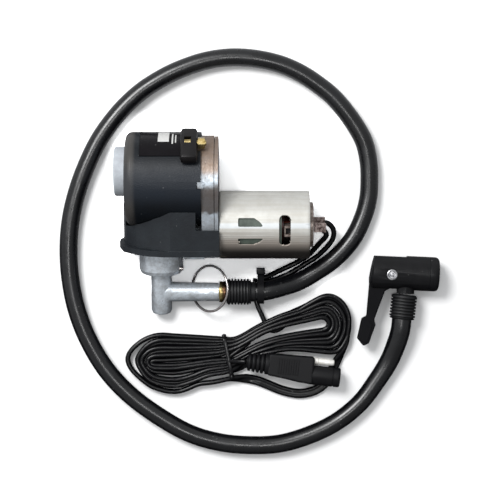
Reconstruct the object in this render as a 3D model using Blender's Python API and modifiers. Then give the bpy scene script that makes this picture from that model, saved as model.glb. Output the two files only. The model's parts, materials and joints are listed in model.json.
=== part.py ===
"""Small 12 V piston tire inflator: geared motor pump, air hose with a thumb-lock chuck, and a
two-pin power lead tied in a hank. It lies on a table, seen from above with +Y up.

The pump is modelled in its own frame: X is the crank axis, the cylinder points to -Y, and the
frame is turned about X so that the crank cover and the motor both touch the table.
"""

from math import acos, asin, cos, pi, radians, sin, tan

import bmesh
import bpy
from mathutils import Vector
from mathutils.geometry import interpolate_bezier

MM = 0.001
GAP = 0.3 * MM  # clearance between touching or running pieces

# Gear train between motor and crank
GEAR_MODULE = 0.8 * MM
GEAR_TEETH = 53
PINION_TEETH = 12
GEAR_WIDTH = 3.6 * MM
GEAR_BACKLASH = 0.34 * MM
PRESSURE_ANGLE = radians(20)
GEAR_CENTRES = GEAR_MODULE * (GEAR_TEETH + PINION_TEETH) / 2

# Crank cover
COVER_RADIUS = 25.6 * MM
COVER_WALL = 1.6 * MM
COVER_LENGTH = 41.4 * MM
COVER_CORNER = 3.8 * MM
COVER_RIM_X = -9.2 * MM

# Label panel let into the cover
LABEL_RECESS = 0.6 * MM
LABEL_THICKNESS = 0.3 * MM
LABEL_WIDTH = 22.5 * MM
LABEL_X = -30.8 * MM
LABEL_START = radians(41.5)
LABEL_END = radians(112)

# Clamp lug on the cover, with its brass screw
LUG_ANGLE = radians(56.7)
LUG_LENGTH = 9.3 * MM
LUG_WIDTH = 22.6 * MM
LUG_HEIGHT = 4.8 * MM
LUG_SHIFT = -1.8 * MM
LUG_RIM_SETBACK = 1.7 * MM
CLAMP_SCREW_RADIUS = 1.5 * MM
CLAMP_NUT_RADIUS = 3.2 * MM
CLAMP_NUT_LENGTH = 3.6 * MM

# Gear case
CASE_RADIUS = COVER_RADIUS - COVER_WALL - GAP  # its spigot centres the cover
CASE_LOBE_RADIUS = 18.4 * MM
CASE_RIM = 1.3 * MM
CASE_WALL = 1.6 * MM
SPIGOT_LENGTH = 2.4 * MM
TAB_LENGTH = 2.0 * MM  # small locating tab in the cover's notch
TAB_LOW = 0.4 * MM
TAB_HIGH = 3.8 * MM
MOTOR_PLATE_THICKNESS = 2.0 * MM
HUB_RADIUS = 8.4 * MM
HUB_LENGTH = 11.2 * MM

# Motor
MOTOR_RADIUS = 18.7 * MM
MOTOR_LENGTH = 49.5 * MM
MOTOR_WALL = 1.0 * MM
MOTOR_X = 0.3 * MM
MAGNET_THICKNESS = 4.4 * MM
MAGNET_LEAD = 3.2 * MM  # the magnets start this far before the core
MAGNET_OVERHANG = 6.0 * MM  # and are this much longer than it
ARMATURE_RADIUS = 12.0 * MM
ARMATURE_X = 9.5 * MM
ARMATURE_POLES = 5
WINDING_END = 4.0 * MM
POLE_NECK = 2.2 * MM
SLOT_ROOT = 5.0 * MM
SHOE_THICKNESS = 1.8 * MM
BRUSH_ROOM = 4.7 * MM  # commutator to the end bell
COMMUTATOR_RADIUS = 5.0 * MM
COMMUTATOR_LENGTH = 5.6 * MM
SHAFT_RADIUS = 1.6 * MM
BELL_THICKNESS = 3.4 * MM
BELL_BOSS_RADIUS = 12.4 * MM
BELL_BOSS_HEIGHT = 2.0 * MM
BUSH_RADIUS = 4.9 * MM
TERMINAL_LENGTH = 6.6 * MM
TERMINAL_WIDTH = 5.0 * MM
TERMINAL_THICKNESS = 0.8 * MM
TERMINAL_HEIGHT = 7.0 * MM
MOTOR_SCREW_HEAD = 2.7 * MM
MOTOR_SCREW_HEIGHT = 1.8 * MM
MOTOR_SCREW_PITCH = 25.0 * MM
MOTOR_SCREW_RADIUS = 1.5 * MM
VENT_START = 10.3 * MM  # the two long windows, from the can's left end
VENT_END = 23.4 * MM
BRUSH_SLOT_START = 16.7 * MM  # the tall slot, back from its right end
BRUSH_SLOT_END = 10.4 * MM

# Crank, rod and piston
CYLINDER_X = -32.0 * MM
CRANK_THROW = 7.0 * MM
CRANK_SHAFT_RADIUS = 3.0 * MM
CRANK_WEB_RADIUS = 11.0 * MM
CRANK_WEB_THICKNESS = 5.0 * MM
CRANK_PIN_RADIUS = 2.5 * MM
BEARING_WIDTH = 4.0 * MM
BEARING_WALL = 3.4 * MM
ROD_LENGTH = 30.0 * MM
ROD_THICKNESS = 6.0 * MM
ROD_BIG_RADIUS = 6.5 * MM
ROD_SMALL_RADIUS = 4.0 * MM
NEEDLE_WALL = 1.2 * MM
BORE_RADIUS = 9.7 * MM
LINER_WALL = 1.1 * MM
PISTON_HEIGHT = 10.0 * MM
PISTON_CROWN = 2.5 * MM
PISTON_WALL = 1.9 * MM
PISTON_CLEARANCE = 0.4 * MM
SEAL_CLEARANCE = 0.15 * MM
SEAL_HEIGHT = 1.4 * MM
SEAL_DEPTH = 0.85 * MM
WRIST_PIN_RADIUS = 2.0 * MM
DECK_HEIGHT = COVER_RADIUS + 0.4 * MM  # crank axis to the cylinder deck, just outside the cover
DECK_THICKNESS = 4.0 * MM
BARREL_WALL = 1.9 * MM
TOP_CLEARANCE = 0.4 * MM  # piston crown to the end of the liner

# Cowl round the cylinder; its outline is (x, z) in the pump frame
COWL_FRONT = 22.0 * MM
COWL_BACK = -15.3 * MM
COWL_WALL = 1.2 * MM
COWL_SKIRT = 38.5 * MM  # crank axis to the skirt's lower face
COWL_FLANGE = 3.2 * MM
COWL_FLANGE_REACH = 2.2 * MM
COWL_FOOT_TOP = 23.8 * MM
COWL_FOOT_END = 0.6 * MM

# Cylinder head and outlet elbow
HEAD_RADIUS = 12.05 * MM
HEAD_FLOOR = 1.2 * MM  # metal under the valve chamber
HEAD_CORNER = 3.0 * MM
OUTLET_DROP = 11.1 * MM  # head's lower face to the outlet tube's axis
OUTLET_RADIUS = 5.65 * MM
OUTLET_TIP = 12.4 * MM  # outlet axis to the closed end of the down tube
OUTLET_END_X = -0.2 * MM
OUTLET_END_RADIUS = 5.1 * MM
OUTLET_BORE = 3.0 * MM
VALVE_CHAMBER_RADIUS = 6.2 * MM
VALVE_CHAMBER_DEPTH = 5.1 * MM
VALVE_PLATE_THICKNESS = 1.2 * MM
VALVE_PORT_RADIUS = 2.0 * MM
VALVE_DISC_RADIUS = 3.8 * MM
VALVE_DISC_THICKNESS = 0.8 * MM
VALVE_LIFT = 0.5 * MM
SET_SCREW_RADIUS = 1.25 * MM
SET_SCREW_LENGTH = 3.2 * MM
SET_SCREW_RISE = 2.7 * MM  # its axis above the valve chamber's floor
FERRULE_LENGTH = 3.7 * MM
FERRULE_RADIUS = 5.85 * MM

# End boss
BOSS_RADIUS = 13.5 * MM
BOSS_LENGTH = 6.2 * MM
BOSS_RISE = 4.0 * MM
BOSS_FLANGE = 2.0 * MM

# Hose, its ribbed nuts and the thumb-lock chuck
HOSE_RADIUS = 5.0 * MM
NUT_RADIUS = 7.15 * MM
NUT_LENGTH = 13.6 * MM
NUT_RIBS = 7
NUT_COLLAR = 2.8 * MM
BARB_RADIUS = 2.6 * MM
CHUCK_AT = (102.65 * MM, -27.08 * MM)
CHUCK_TURN = radians(-2.6)
CHUCK_RADIUS = 9.5 * MM
CHUCK_LEFT = -19.8 * MM
CHUCK_JOINT = 13.0 * MM
CHUCK_NOSE = 18.4 * MM
CHUCK_BORE = 7.2 * MM
VALVE_MOUTH_RADIUS = 4.2 * MM
CHUCK_PIVOT = (-8.06 * MM, -1.2 * MM)
CHUCK_SLOT = 6.0 * MM
LEVER_THICKNESS = 5.4 * MM
LEVER_CAM_RADIUS = 5.2 * MM
LEVER_CAM_OFFSET = 1.3 * MM
RIVET_RADIUS = 1.9 * MM
RIVET_HEAD_RADIUS = 2.95 * MM
STEM_RADIUS = 5.3 * MM
STEM_LENGTH = 2.0 * MM
CHUCK_NUT_TURN = radians(-6.5)
SEAL_RING_LENGTH = 5.0 * MM
PLUNGER_STEM = 2.4 * MM

# Split ring on the outlet tube
RING_RADIUS = 12.7 * MM
RING_WIRE = 0.65 * MM
RING_LAP = 0.72 * MM  # its raised side reaches this far over the hose nut
RING_SEAT = 0.13 * MM  # and lies this far over the nut's top
RING_SHIFT = 1.78 * MM  # the ring hangs off the outlet tube's axis by this much

# Wiring and plug
WIRE_RADIUS = 1.45 * MM
LEAD_RADIUS = 1.4 * MM
HANK_HEIGHT = 6.4 * MM
HANK_BASE = 0.2 * MM
TIE_WIDTH = 3.6 * MM
TIE_THICKNESS = 1.2 * MM
TIE_X = 22.15 * MM
HANK_TIE_AT = (3.95 * MM, -73.43 * MM, 0)
HANK_HALF_WAIST = 12.6 * MM
PLUG_AT = (26.25 * MM, -77.63 * MM, 9.0 * MM)
PLUG_TURN = radians(-6)
PLUG_THICKNESS = 9.5 * MM
PLUG_PIN_RADIUS = 2.0 * MM
PLUG_PIN_LENGTH = 11.0 * MM
PLUG_PIN_SIDE = 4.4 * MM
SHROUD_RADIUS = 5.4 * MM
SHROUD_LENGTH = 15.0 * MM
SHROUD_SIDE = -3.5 * MM
SOCKET_RADIUS = 2.4 * MM

# Where the pump's frame stands over the table, and the tilt that rests the motor on it
PUMP_ORIGIN = Vector((-0.95 * MM, 24.77 * MM, COVER_RADIUS))
TILT = asin((COVER_RADIUS - MOTOR_RADIUS) / GEAR_CENTRES)

ALONG_X = (0, pi / 2, 0)  # local Z along +X
TO_HEAD = (pi / 2, 0, 0)  # local Z along -Y, local Y along +Z

# Points on the table, in millimetres, read along the cords
HOSE_ROUTE = [
    (20, -37.51, 8.6), (23.85, -37.43, 8.65), (28.05, -36.63, 8.3), (32.95, -35.33, 7.3),
    (42.75, -32.23, 5.5), (52.85, -26.63, 5.1), (63.55, -19.03, 5.1), (72.95, -8.73, 5.1),
    (78.75, 2.47, 5.1), (82.05, 13.67, 5.1), (82.85, 24.77, 5.1), (82.25, 35.97, 5.1),
    (79.45, 47.17, 5.1), (72.35, 59.27, 5.1), (62.85, 70.87, 5.1), (53.85, 78.27, 5.1),
    (44.15, 84.57, 5.1), (32.95, 89.47, 5.1), (18.95, 92.57, 5.1), (5.05, 93.27, 5.1),
    (-8.95, 91.27, 5.1), (-22.85, 86.57, 5.1), (-34.05, 81.07, 5.1), (-45.25, 73.67, 5.1),
    (-56.35, 63.07, 5.1), (-66.75, 49.37, 5.1), (-73.75, 35.97, 5.1), (-80.05, 19.27, 5.1),
    (-83.95, 2.47, 5.1), (-85.15, -14.33, 5.1), (-84.05, -31.03, 5.1), (-80.55, -47.83, 5.1),
    (-74.05, -64.53, 5.1), (-63.85, -81.33, 5.1), (-50.55, -95.43, 5.1), (-34.05, -107.53, 5.1),
    (-17.35, -116.73, 5.1), (-0.55, -121.63, 5.1), (16.15, -123.23, 5.1), (32.95, -122.33, 5.1),
    (49.75, -117.43, 5.1), (64.75, -110.03, 5.1), (77.65, -99.53, 5.1), (87.25, -86.83, 5.2),
    (94.05, -75.63, 5.9), (98.35, -64.53, 8.1), (99.95, -58.03, 9.4), (100.47, -53.48, 9.6),
]
WIRE_A_ROUTE = [
    (55.65, -3.43, 23), (57.65, -4.53, 22.4), (57.95, -6.73, 20.4), (55.35, -9.73, 16), (51.95, -13.73, 9.8),
    (48.35, -17.53, 5), (44.35, -20.13, 2.4), (38.65, -23.13, 1.7), (32.05, -26.13, 2), (27.45, -28.43, 4),
    (24.25, -29.73, 5.9), (20.9, -30.0, 6.4),
]
WIRE_B_ROUTE = [
    (55.65, 0.67, 9.6), (59.45, 0.57, 9.6), (62.45, -2.63, 8.6), (62.45, -7.63, 6.6), (58.65, -13.13, 4),
    (53.15, -18.23, 2), (47.05, -22.13, 1.7), (40.05, -26.43, 1.65), (33.55, -29.53, 1.7), (28.05, -31.43, 2.8),
    (24.25, -32.0, 3.9), (20.9, -32.1, 4.0),
]
LEAD_ROUTE = [
    (19.05, -31.0, 4.9), (18.8, -32.6, 3.0), (18.85, -34.9, 1.55), (18.95, -37.93, 1.45), (19.25, -40.93, 1.45),
    (19.95, -44.13, 1.45), (21.4, -47.93, 1.45), (22.75, -51, 1.45), (23.95, -53.65, 1.45),
]
LOOP_ROUTE = [
    (11.25, -85.43, 1.6), (16.25, -86.23, 1.6), (21.65, -88.53, 1.6), (27.45, -91.63, 1.6), (33.25, -94.23, 1.6),
    (39.35, -95.63, 1.6), (45.35, -95.93, 1.6), (52.35, -94.43, 1.6), (58.45, -90.93, 1.6), (64.05, -85.73, 1.6),
    (68.45, -79.13, 1.6), (70.35, -73.93, 1.6),
]
TAIL_ROUTE = [(5.85, -76.03, 5.1), (8.65, -76.2, 7.2), (10.4, -76.25, 8.4), (12.2, -76.28, 8.9), (14.05, -76.33, 9)]
HANK_OUTLINE = [
    (6.25, -62.33), (-0.75, -61.23), (-11.75, -60.13), (-25.75, -58.93), (-35.55, -58.43), (-45.25, -62.23),
    (-52.85, -68.93), (-55.35, -74.73), (-52.15, -82.33), (-43.95, -89.93), (-37.15, -93.93), (-25.35, -96.33),
    (-15.75, -93.13), (-6.55, -87.93), (2.65, -84.73), (7.65, -84.13), (8.65, -76.53), (13.05, -70.73),
    (23.05, -70.03), (39.05, -70.43), (54.05, -72.43), (65.25, -72.73), (69.45, -68.13), (72.85, -61.13),
    (73.85, -52.13), (69.65, -42.33), (62.25, -37.73), (55.25, -38.73), (44.25, -44.93), (24.25, -53.93),
]


def clear_scene():
    for obj in list(bpy.data.objects):
        bpy.data.objects.remove(obj)
    for name in ("tire_inflator", "cutters"):
        bpy.context.scene.collection.children.link(bpy.data.collections.new(name))
    bpy.data.collections["cutters"].hide_render = True


def material(name, color, roughness, metallic=0.0):
    made = bpy.data.materials.new(name)
    made.use_nodes = True
    shader = made.node_tree.nodes["Principled BSDF"]
    shader.inputs["Base Color"].default_value = (*color, 1)
    shader.inputs["Roughness"].default_value = roughness
    shader.inputs["Metallic"].default_value = metallic
    return made


def frame_empty(name, location, rotation=(0, 0, 0), parent=None):
    empty = bpy.data.objects.new(name, None)
    empty.location = location
    empty.rotation_euler = rotation
    empty.parent = parent
    bpy.data.collections["tire_inflator"].objects.link(empty)
    return empty


def place(name, data, finish, parent=None, location=(0, 0, 0), rotation=(0, 0, 0)):
    obj = bpy.data.objects.new(name, data)
    obj.location = location
    obj.rotation_euler = rotation
    obj.parent = parent
    if finish:
        data.materials.append(finish)
    bpy.data.collections["tire_inflator"].objects.link(obj)
    return obj


def turned(name, profile, finish, parent=None, location=(0, 0, 0), rotation=ALONG_X, steps=24, ring=False):
    """A (radius, height) profile, running down its outer side, turned about local Z.

    A helper has no finish. Its facets start a little further round, so that none of its edges
    runs along an edge of the piece that it cuts or joins.
    """
    mesh = bpy.data.meshes.new(name)
    count = len(profile)
    edges = [(i, (i + 1) % count) for i in range(count if ring else count - 1)]
    start = 0 if finish else 0.06
    mesh.from_pydata([(r * cos(start), r * sin(start), h) for r, h in profile], edges, [])
    obj = place(name, mesh, finish, parent, location, rotation)
    screw = obj.modifiers.new("turn", "SCREW")
    screw.axis = "Z"
    screw.angle = 2 * pi
    screw.steps = screw.render_steps = steps
    screw.use_merge_vertices = True
    screw.merge_threshold = 0.00001
    screw.use_smooth_shade = True
    return obj


def tube(name, outer, inner, low, high, finish, parent=None, location=(0, 0, 0), rotation=ALONG_X, steps=24):
    profile = [(outer, high), (outer, low), (inner, low), (inner, high)]
    return turned(name, profile, finish, parent, location, rotation, steps, ring=True)


def rod(name, radius, low, high, finish, parent=None, location=(0, 0, 0), rotation=ALONG_X, steps=20):
    profile = [(0, high), (radius, high), (radius, low), (0, low)]
    return turned(name, profile, finish, parent, location, rotation, steps)


def block(name, low, high, finish=None, parent=None, location=(0, 0, 0), rotation=(0, 0, 0), round_by=0):
    """A box between two corners, with its edges rounded by round_by."""
    mesh = bpy.data.meshes.new(name)
    shape = bmesh.new()
    bmesh.ops.create_cube(shape, size=1)
    low, high = Vector(low), Vector(high)
    for vertex in shape.verts:
        vertex.co = (low + high) / 2 + vertex.co * (high - low)
    shape.to_mesh(mesh)
    shape.free()
    obj = place(name, mesh, finish, parent, location, rotation)
    if round_by:
        bevel = obj.modifiers.new("edges", "BEVEL")
        bevel.width = round_by
        bevel.segments = 2
    return obj


def curve_to_mesh(curve_object):
    """The curve's evaluated surface as a closed mesh object in its place."""
    bpy.context.view_layer.update()
    evaluated = curve_object.evaluated_get(bpy.context.evaluated_depsgraph_get())
    mesh = bpy.data.meshes.new_from_object(evaluated)
    shape = bmesh.new()
    shape.from_mesh(mesh)
    bmesh.ops.remove_doubles(shape, verts=shape.verts, dist=0.000001)
    bmesh.ops.recalc_face_normals(shape, faces=shape.faces)
    shape.to_mesh(mesh)
    shape.free()
    name, parent = curve_object.name, curve_object.parent
    location, rotation = curve_object.location.copy(), curve_object.rotation_euler.copy()
    bpy.data.objects.remove(curve_object)
    return place(name, mesh, None, parent, location, rotation)


def plate(name, loops, low, high, finish, parent=None, location=(0, 0, 0), rotation=ALONG_X):
    """A flat outline, with any inner loops as holes, between two heights along local Z."""
    curve = bpy.data.curves.new(name, "CURVE")
    curve.dimensions = "2D"
    curve.fill_mode = "BOTH"
    curve.extrude = (high - low) / 2
    for loop in loops:
        spline = curve.splines.new("POLY")
        spline.points.add(len(loop) - 1)
        for point, (x, y) in zip(spline.points, loop):
            point.co = (x, y, 0, 1)
        spline.use_cyclic_u = True
    obj = curve_to_mesh(place(name, curve, None, parent, location, rotation))
    if finish:
        obj.data.materials.append(finish)
    for vertex in obj.data.vertices:
        vertex.co.z += (low + high) / 2
    return obj


def cord(name, route, radius, finish, spacing, sides=3):
    """A tube on one smooth curve through the route's points, with a point every spacing."""
    points = smooth_points([Vector(p) * MM for p in route], spacing)
    curve = bpy.data.curves.new(name, "CURVE")
    curve.dimensions = "3D"
    curve.bevel_depth = radius
    curve.bevel_resolution = sides
    curve.use_fill_caps = True
    spline = curve.splines.new("POLY")
    spline.points.add(len(points) - 1)
    for point, at in zip(spline.points, points):
        point.co = (*at, 1)
    return place(name, curve, finish)


def smooth_points(points, spacing):
    """Even points along the Bezier curve whose handles follow each point's neighbours."""
    fine = []
    ends = [points[0]] + points + [points[-1]]
    for before, start, end, after in zip(ends, ends[1:], ends[2:], ends[3:]):
        reach = (end - start).length / 3
        leave = (end - before).normalized() * reach
        arrive = (after - start).normalized() * reach
        fine += interpolate_bezier(start, start + leave, end - arrive, end, 9)[:-1]
    fine.append(points[-1])
    lengths = [0.0]
    for start, end in zip(fine, fine[1:]):
        lengths.append(lengths[-1] + (end - start).length)
    count = max(3, round(lengths[-1] / spacing))
    chosen = []
    index = 0
    for step in range(count + 1):
        target = lengths[-1] * step / count
        while index < len(lengths) - 2 and lengths[index + 1] < target:
            index += 1
        share = (target - lengths[index]) / (lengths[index + 1] - lengths[index])
        chosen.append(fine[index].lerp(fine[index + 1], min(1, share)))
    # one more point near each end squares the tube's end faces to its route
    return [chosen[0], points[0].lerp(points[1], 0.5), *chosen[1:-1], points[-1].lerp(points[-2], 0.5), chosen[-1]]


def to_helpers(obj):
    obj.hide_render = True
    obj.display_type = "WIRE"
    bpy.data.collections["tire_inflator"].objects.unlink(obj)
    bpy.data.collections["cutters"].objects.link(obj)


def boolean(obj, other, operation):
    modifier = obj.modifiers.new(other.name, "BOOLEAN")
    modifier.operation = operation
    modifier.solver = "EXACT"
    modifier.object = other
    to_helpers(other)


def cut(obj, *cutters):
    for cutter in cutters:
        boolean(obj, cutter, "DIFFERENCE")


def join(obj, *others):
    for other in others:
        boolean(obj, other, "UNION")


def circle(radius, centre=(0, 0), count=24, start=0.0):
    return [
        (centre[0] + radius * cos(start + 2 * pi * i / count), centre[1] + radius * sin(start + 2 * pi * i / count))
        for i in range(count)
    ]


def wrapped(circles, count=32):
    """The outline of a band stretched round (radius, centre) circles, counter-clockwise."""
    points = sorted({point for radius, centre in circles for point in circle(radius, centre, count)})

    def half(ordered):
        chain = []
        for x, y in ordered:
            while len(chain) > 1:
                (ax, ay), (bx, by) = chain[-2:]
                if (bx - ax) * (y - ay) - (by - ay) * (x - ax) > 1e-12:
                    break
                chain.pop()
            chain.append((x, y))
        return chain[:-1]

    return half(points) + half(points[::-1])


def arc_band(outer, inner, start, end, count=8):
    """A sector of a ring. Angles run from +Z towards +Y once it is turned along X."""
    angles = [start + (end - start) * i / count for i in range(count + 1)]
    return [(-outer * cos(a), outer * sin(a)) for a in angles] + [
        (-inner * cos(a), inner * sin(a)) for a in reversed(angles)
    ]


def gear_outline(teeth, first_tooth, radii_per_flank):
    """Involute teeth on a pitch circle, thinned by the backlash."""
    pitch = GEAR_MODULE * teeth / 2
    base = pitch * cos(PRESSURE_ANGLE)
    root, tip = pitch - 1.25 * GEAR_MODULE, pitch + 0.9 * GEAR_MODULE
    radii = [root + (tip - root) * i / (radii_per_flank - 1) for i in range(radii_per_flank)]
    half_tooth = pi / (2 * teeth) - GEAR_BACKLASH / (4 * pitch) + tan(PRESSURE_ANGLE) - PRESSURE_ANGLE

    def flank(radius):
        angle = acos(base / max(radius, base))
        return half_tooth - (tan(angle) - angle)

    outline = []
    for tooth in range(teeth):
        middle = first_tooth + 2 * pi * tooth / teeth
        for radius in radii:
            outline.append((radius * cos(middle - flank(radius)), radius * sin(middle - flank(radius))))
        for radius in reversed(radii):
            outline.append((radius * cos(middle + flank(radius)), radius * sin(middle + flank(radius))))
    return outline


def make_crank_cover(pump):
    """Black shell over the crank chamber, closed at its left end."""
    left = COVER_RIM_X - COVER_LENGTH
    inner = COVER_RADIUS - COVER_WALL
    corner = [
        (COVER_RADIUS - COVER_CORNER * (1 - cos(a)), left + COVER_CORNER * (1 - sin(a)))
        for a in (0, pi / 8, pi / 4, 3 * pi / 8, pi / 2)
    ]
    profile = [(COVER_RADIUS, COVER_RIM_X), *corner, (BOSS_RADIUS / 2, left)]
    profile += [(BOSS_RADIUS / 2, left + COVER_WALL), (inner - COVER_CORNER / 2, left + COVER_WALL)]
    profile += [(inner, left + COVER_WALL + COVER_CORNER / 2), (inner, COVER_RIM_X)]
    cover = turned("crank_cover", profile, BLACK_PLASTIC, pump, steps=40, ring=True)
    lug = block(
        "cover_lug",
        (COVER_RIM_X - LUG_RIM_SETBACK - LUG_LENGTH, LUG_SHIFT - LUG_WIDTH / 2, inner + GAP),
        (COVER_RIM_X - LUG_RIM_SETBACK, LUG_SHIFT + LUG_WIDTH / 2, COVER_RADIUS + LUG_HEIGHT),
        None, pump, rotation=(-LUG_ANGLE, 0, 0), round_by=2 * MM,
    )
    join(cover, lug)
    left_face = COVER_RIM_X - COVER_LENGTH
    boss_hole = rod(
        "cover_boss_hole", BOSS_RADIUS + GAP, left_face - MM, left_face + 2 * COVER_WALL, None, pump,
        (0, BOSS_RISE, 0),
    )
    liner_hole = rod(
        "cover_liner_hole", BORE_RADIUS + LINER_WALL + 2 * GAP, BORE_RADIUS, DECK_HEIGHT + MM,
        None, pump, (CYLINDER_X, 0, 0), TO_HEAD,
    )
    recess = plate(
        "cover_label_recess",
        [arc_band(COVER_RADIUS + MM, COVER_RADIUS - LABEL_RECESS, LABEL_START - 0.02, LABEL_END + 0.02)],
        LABEL_X - LABEL_WIDTH / 2 - GAP, LABEL_X + LABEL_WIDTH / 2 + GAP, None, pump,
    )
    screw_hole = rod(
        "cover_screw_hole", CLAMP_SCREW_RADIUS + GAP, COVER_RIM_X - LUG_RIM_SETBACK - LUG_LENGTH / 2,
        COVER_RIM_X, None, pump, clamp_axis(),
    )
    head_pocket = rod(
        "cover_screw_pocket", clamp_head_radius() + GAP, clamp_head_x() - GAP,
        clamp_head_x() + 3.5 * MM + GAP, None, pump, clamp_axis(),
    )
    window = block(
        "cover_screw_window",
        (clamp_head_x() - GAP / 3, -clamp_head_radius(), COVER_RADIUS + 2 * MM),
        (clamp_head_x() + 3.5 * MM + GAP / 3, clamp_head_radius(), COVER_RADIUS + 2 * LUG_HEIGHT),
        None, pump, rotation=(-LUG_ANGLE, 0, 0),
    )
    nut_notch = block(
        "cover_nut_notch", (COVER_RIM_X - LUG_RIM_SETBACK, -CLAMP_NUT_RADIUS - GAP, COVER_RADIUS - 2 * COVER_WALL),
        (COVER_RIM_X + MM, CLAMP_NUT_RADIUS + GAP, COVER_RADIUS + LUG_HEIGHT + MM), None, pump,
        rotation=(-LUG_ANGLE, 0, 0),
    )
    notch = block(
        "cover_tab_notch",
        (COVER_RIM_X - TAB_LENGTH - GAP, TAB_LOW - GAP, CASE_RADIUS - 2 * MM),
        (COVER_RIM_X + MM, TAB_HIGH + GAP, COVER_RADIUS + MM), None, pump,
    )
    cut(cover, boss_hole, liner_hole, recess, screw_hole, head_pocket, window, nut_notch, notch)


def clamp_axis():
    """Where the brass clamp screw's axis crosses the pump's YZ plane."""
    radius = COVER_RADIUS + CLAMP_SCREW_RADIUS + 0.5 * MM
    return (0, radius * sin(LUG_ANGLE), radius * cos(LUG_ANGLE))


def clamp_head_radius():
    return CLAMP_SCREW_RADIUS + 0.7 * MM


def clamp_head_x():
    return COVER_RIM_X - LUG_RIM_SETBACK - LUG_LENGTH + 2.2 * MM


def make_cover_fittings(pump):
    plate(
        "label_plate",
        [arc_band(COVER_RADIUS - GAP + LABEL_THICKNESS, COVER_RADIUS - GAP, LABEL_START, LABEL_END)],
        LABEL_X - LABEL_WIDTH / 2, LABEL_X + LABEL_WIDTH / 2, GLOSS_BLACK, pump,
    )
    left = COVER_RIM_X - COVER_LENGTH
    inside = left + COVER_WALL + GAP
    boss = [
        (0, inside + BOSS_FLANGE), (BOSS_RADIUS + 2.5 * MM, inside + BOSS_FLANGE),
        (BOSS_RADIUS + 2.5 * MM, inside), (BOSS_RADIUS, inside),
        (BOSS_RADIUS, left - BOSS_LENGTH + 0.6 * MM), (BOSS_RADIUS - 0.6 * MM, left - BOSS_LENGTH),
        (0, left - BOSS_LENGTH),
    ]
    turned("end_boss", boss, ZINC, pump, (0, BOSS_RISE, 0), steps=32)
    nut_low = COVER_RIM_X - LUG_RIM_SETBACK + GAP
    head_x = clamp_head_x()
    screw = [
        (0, nut_low + CLAMP_NUT_LENGTH + 0.8 * MM), (CLAMP_SCREW_RADIUS, nut_low + CLAMP_NUT_LENGTH + 0.8 * MM),
        (CLAMP_SCREW_RADIUS, head_x + 3.5 * MM), (clamp_head_radius(), head_x + 3.5 * MM),
        (clamp_head_radius(), head_x), (0, head_x),
    ]
    turned("clamp_screw", screw, BRASS, pump, clamp_axis(), steps=16)
    plate(
        "clamp_nut", [circle(CLAMP_NUT_RADIUS, count=6), circle(CLAMP_SCREW_RADIUS + GAP, count=16)],
        nut_low, nut_low + CLAMP_NUT_LENGTH, BRASS, pump, clamp_axis(),
    )


def case_outline(radius, lobe):
    return wrapped([(radius, (0, 0)), (lobe, (0, -GEAR_CENTRES))], 40)


def gear_layout():
    """X of the gear's left and right faces, the case rim and the motor plate's two faces."""
    plate_right = MOTOR_X - GAP
    plate_left = plate_right - MOTOR_PLATE_THICKNESS
    rim = plate_left - GAP
    gear_right = rim - GAP
    return gear_right - GEAR_WIDTH, gear_right, rim, plate_left, plate_right


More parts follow.
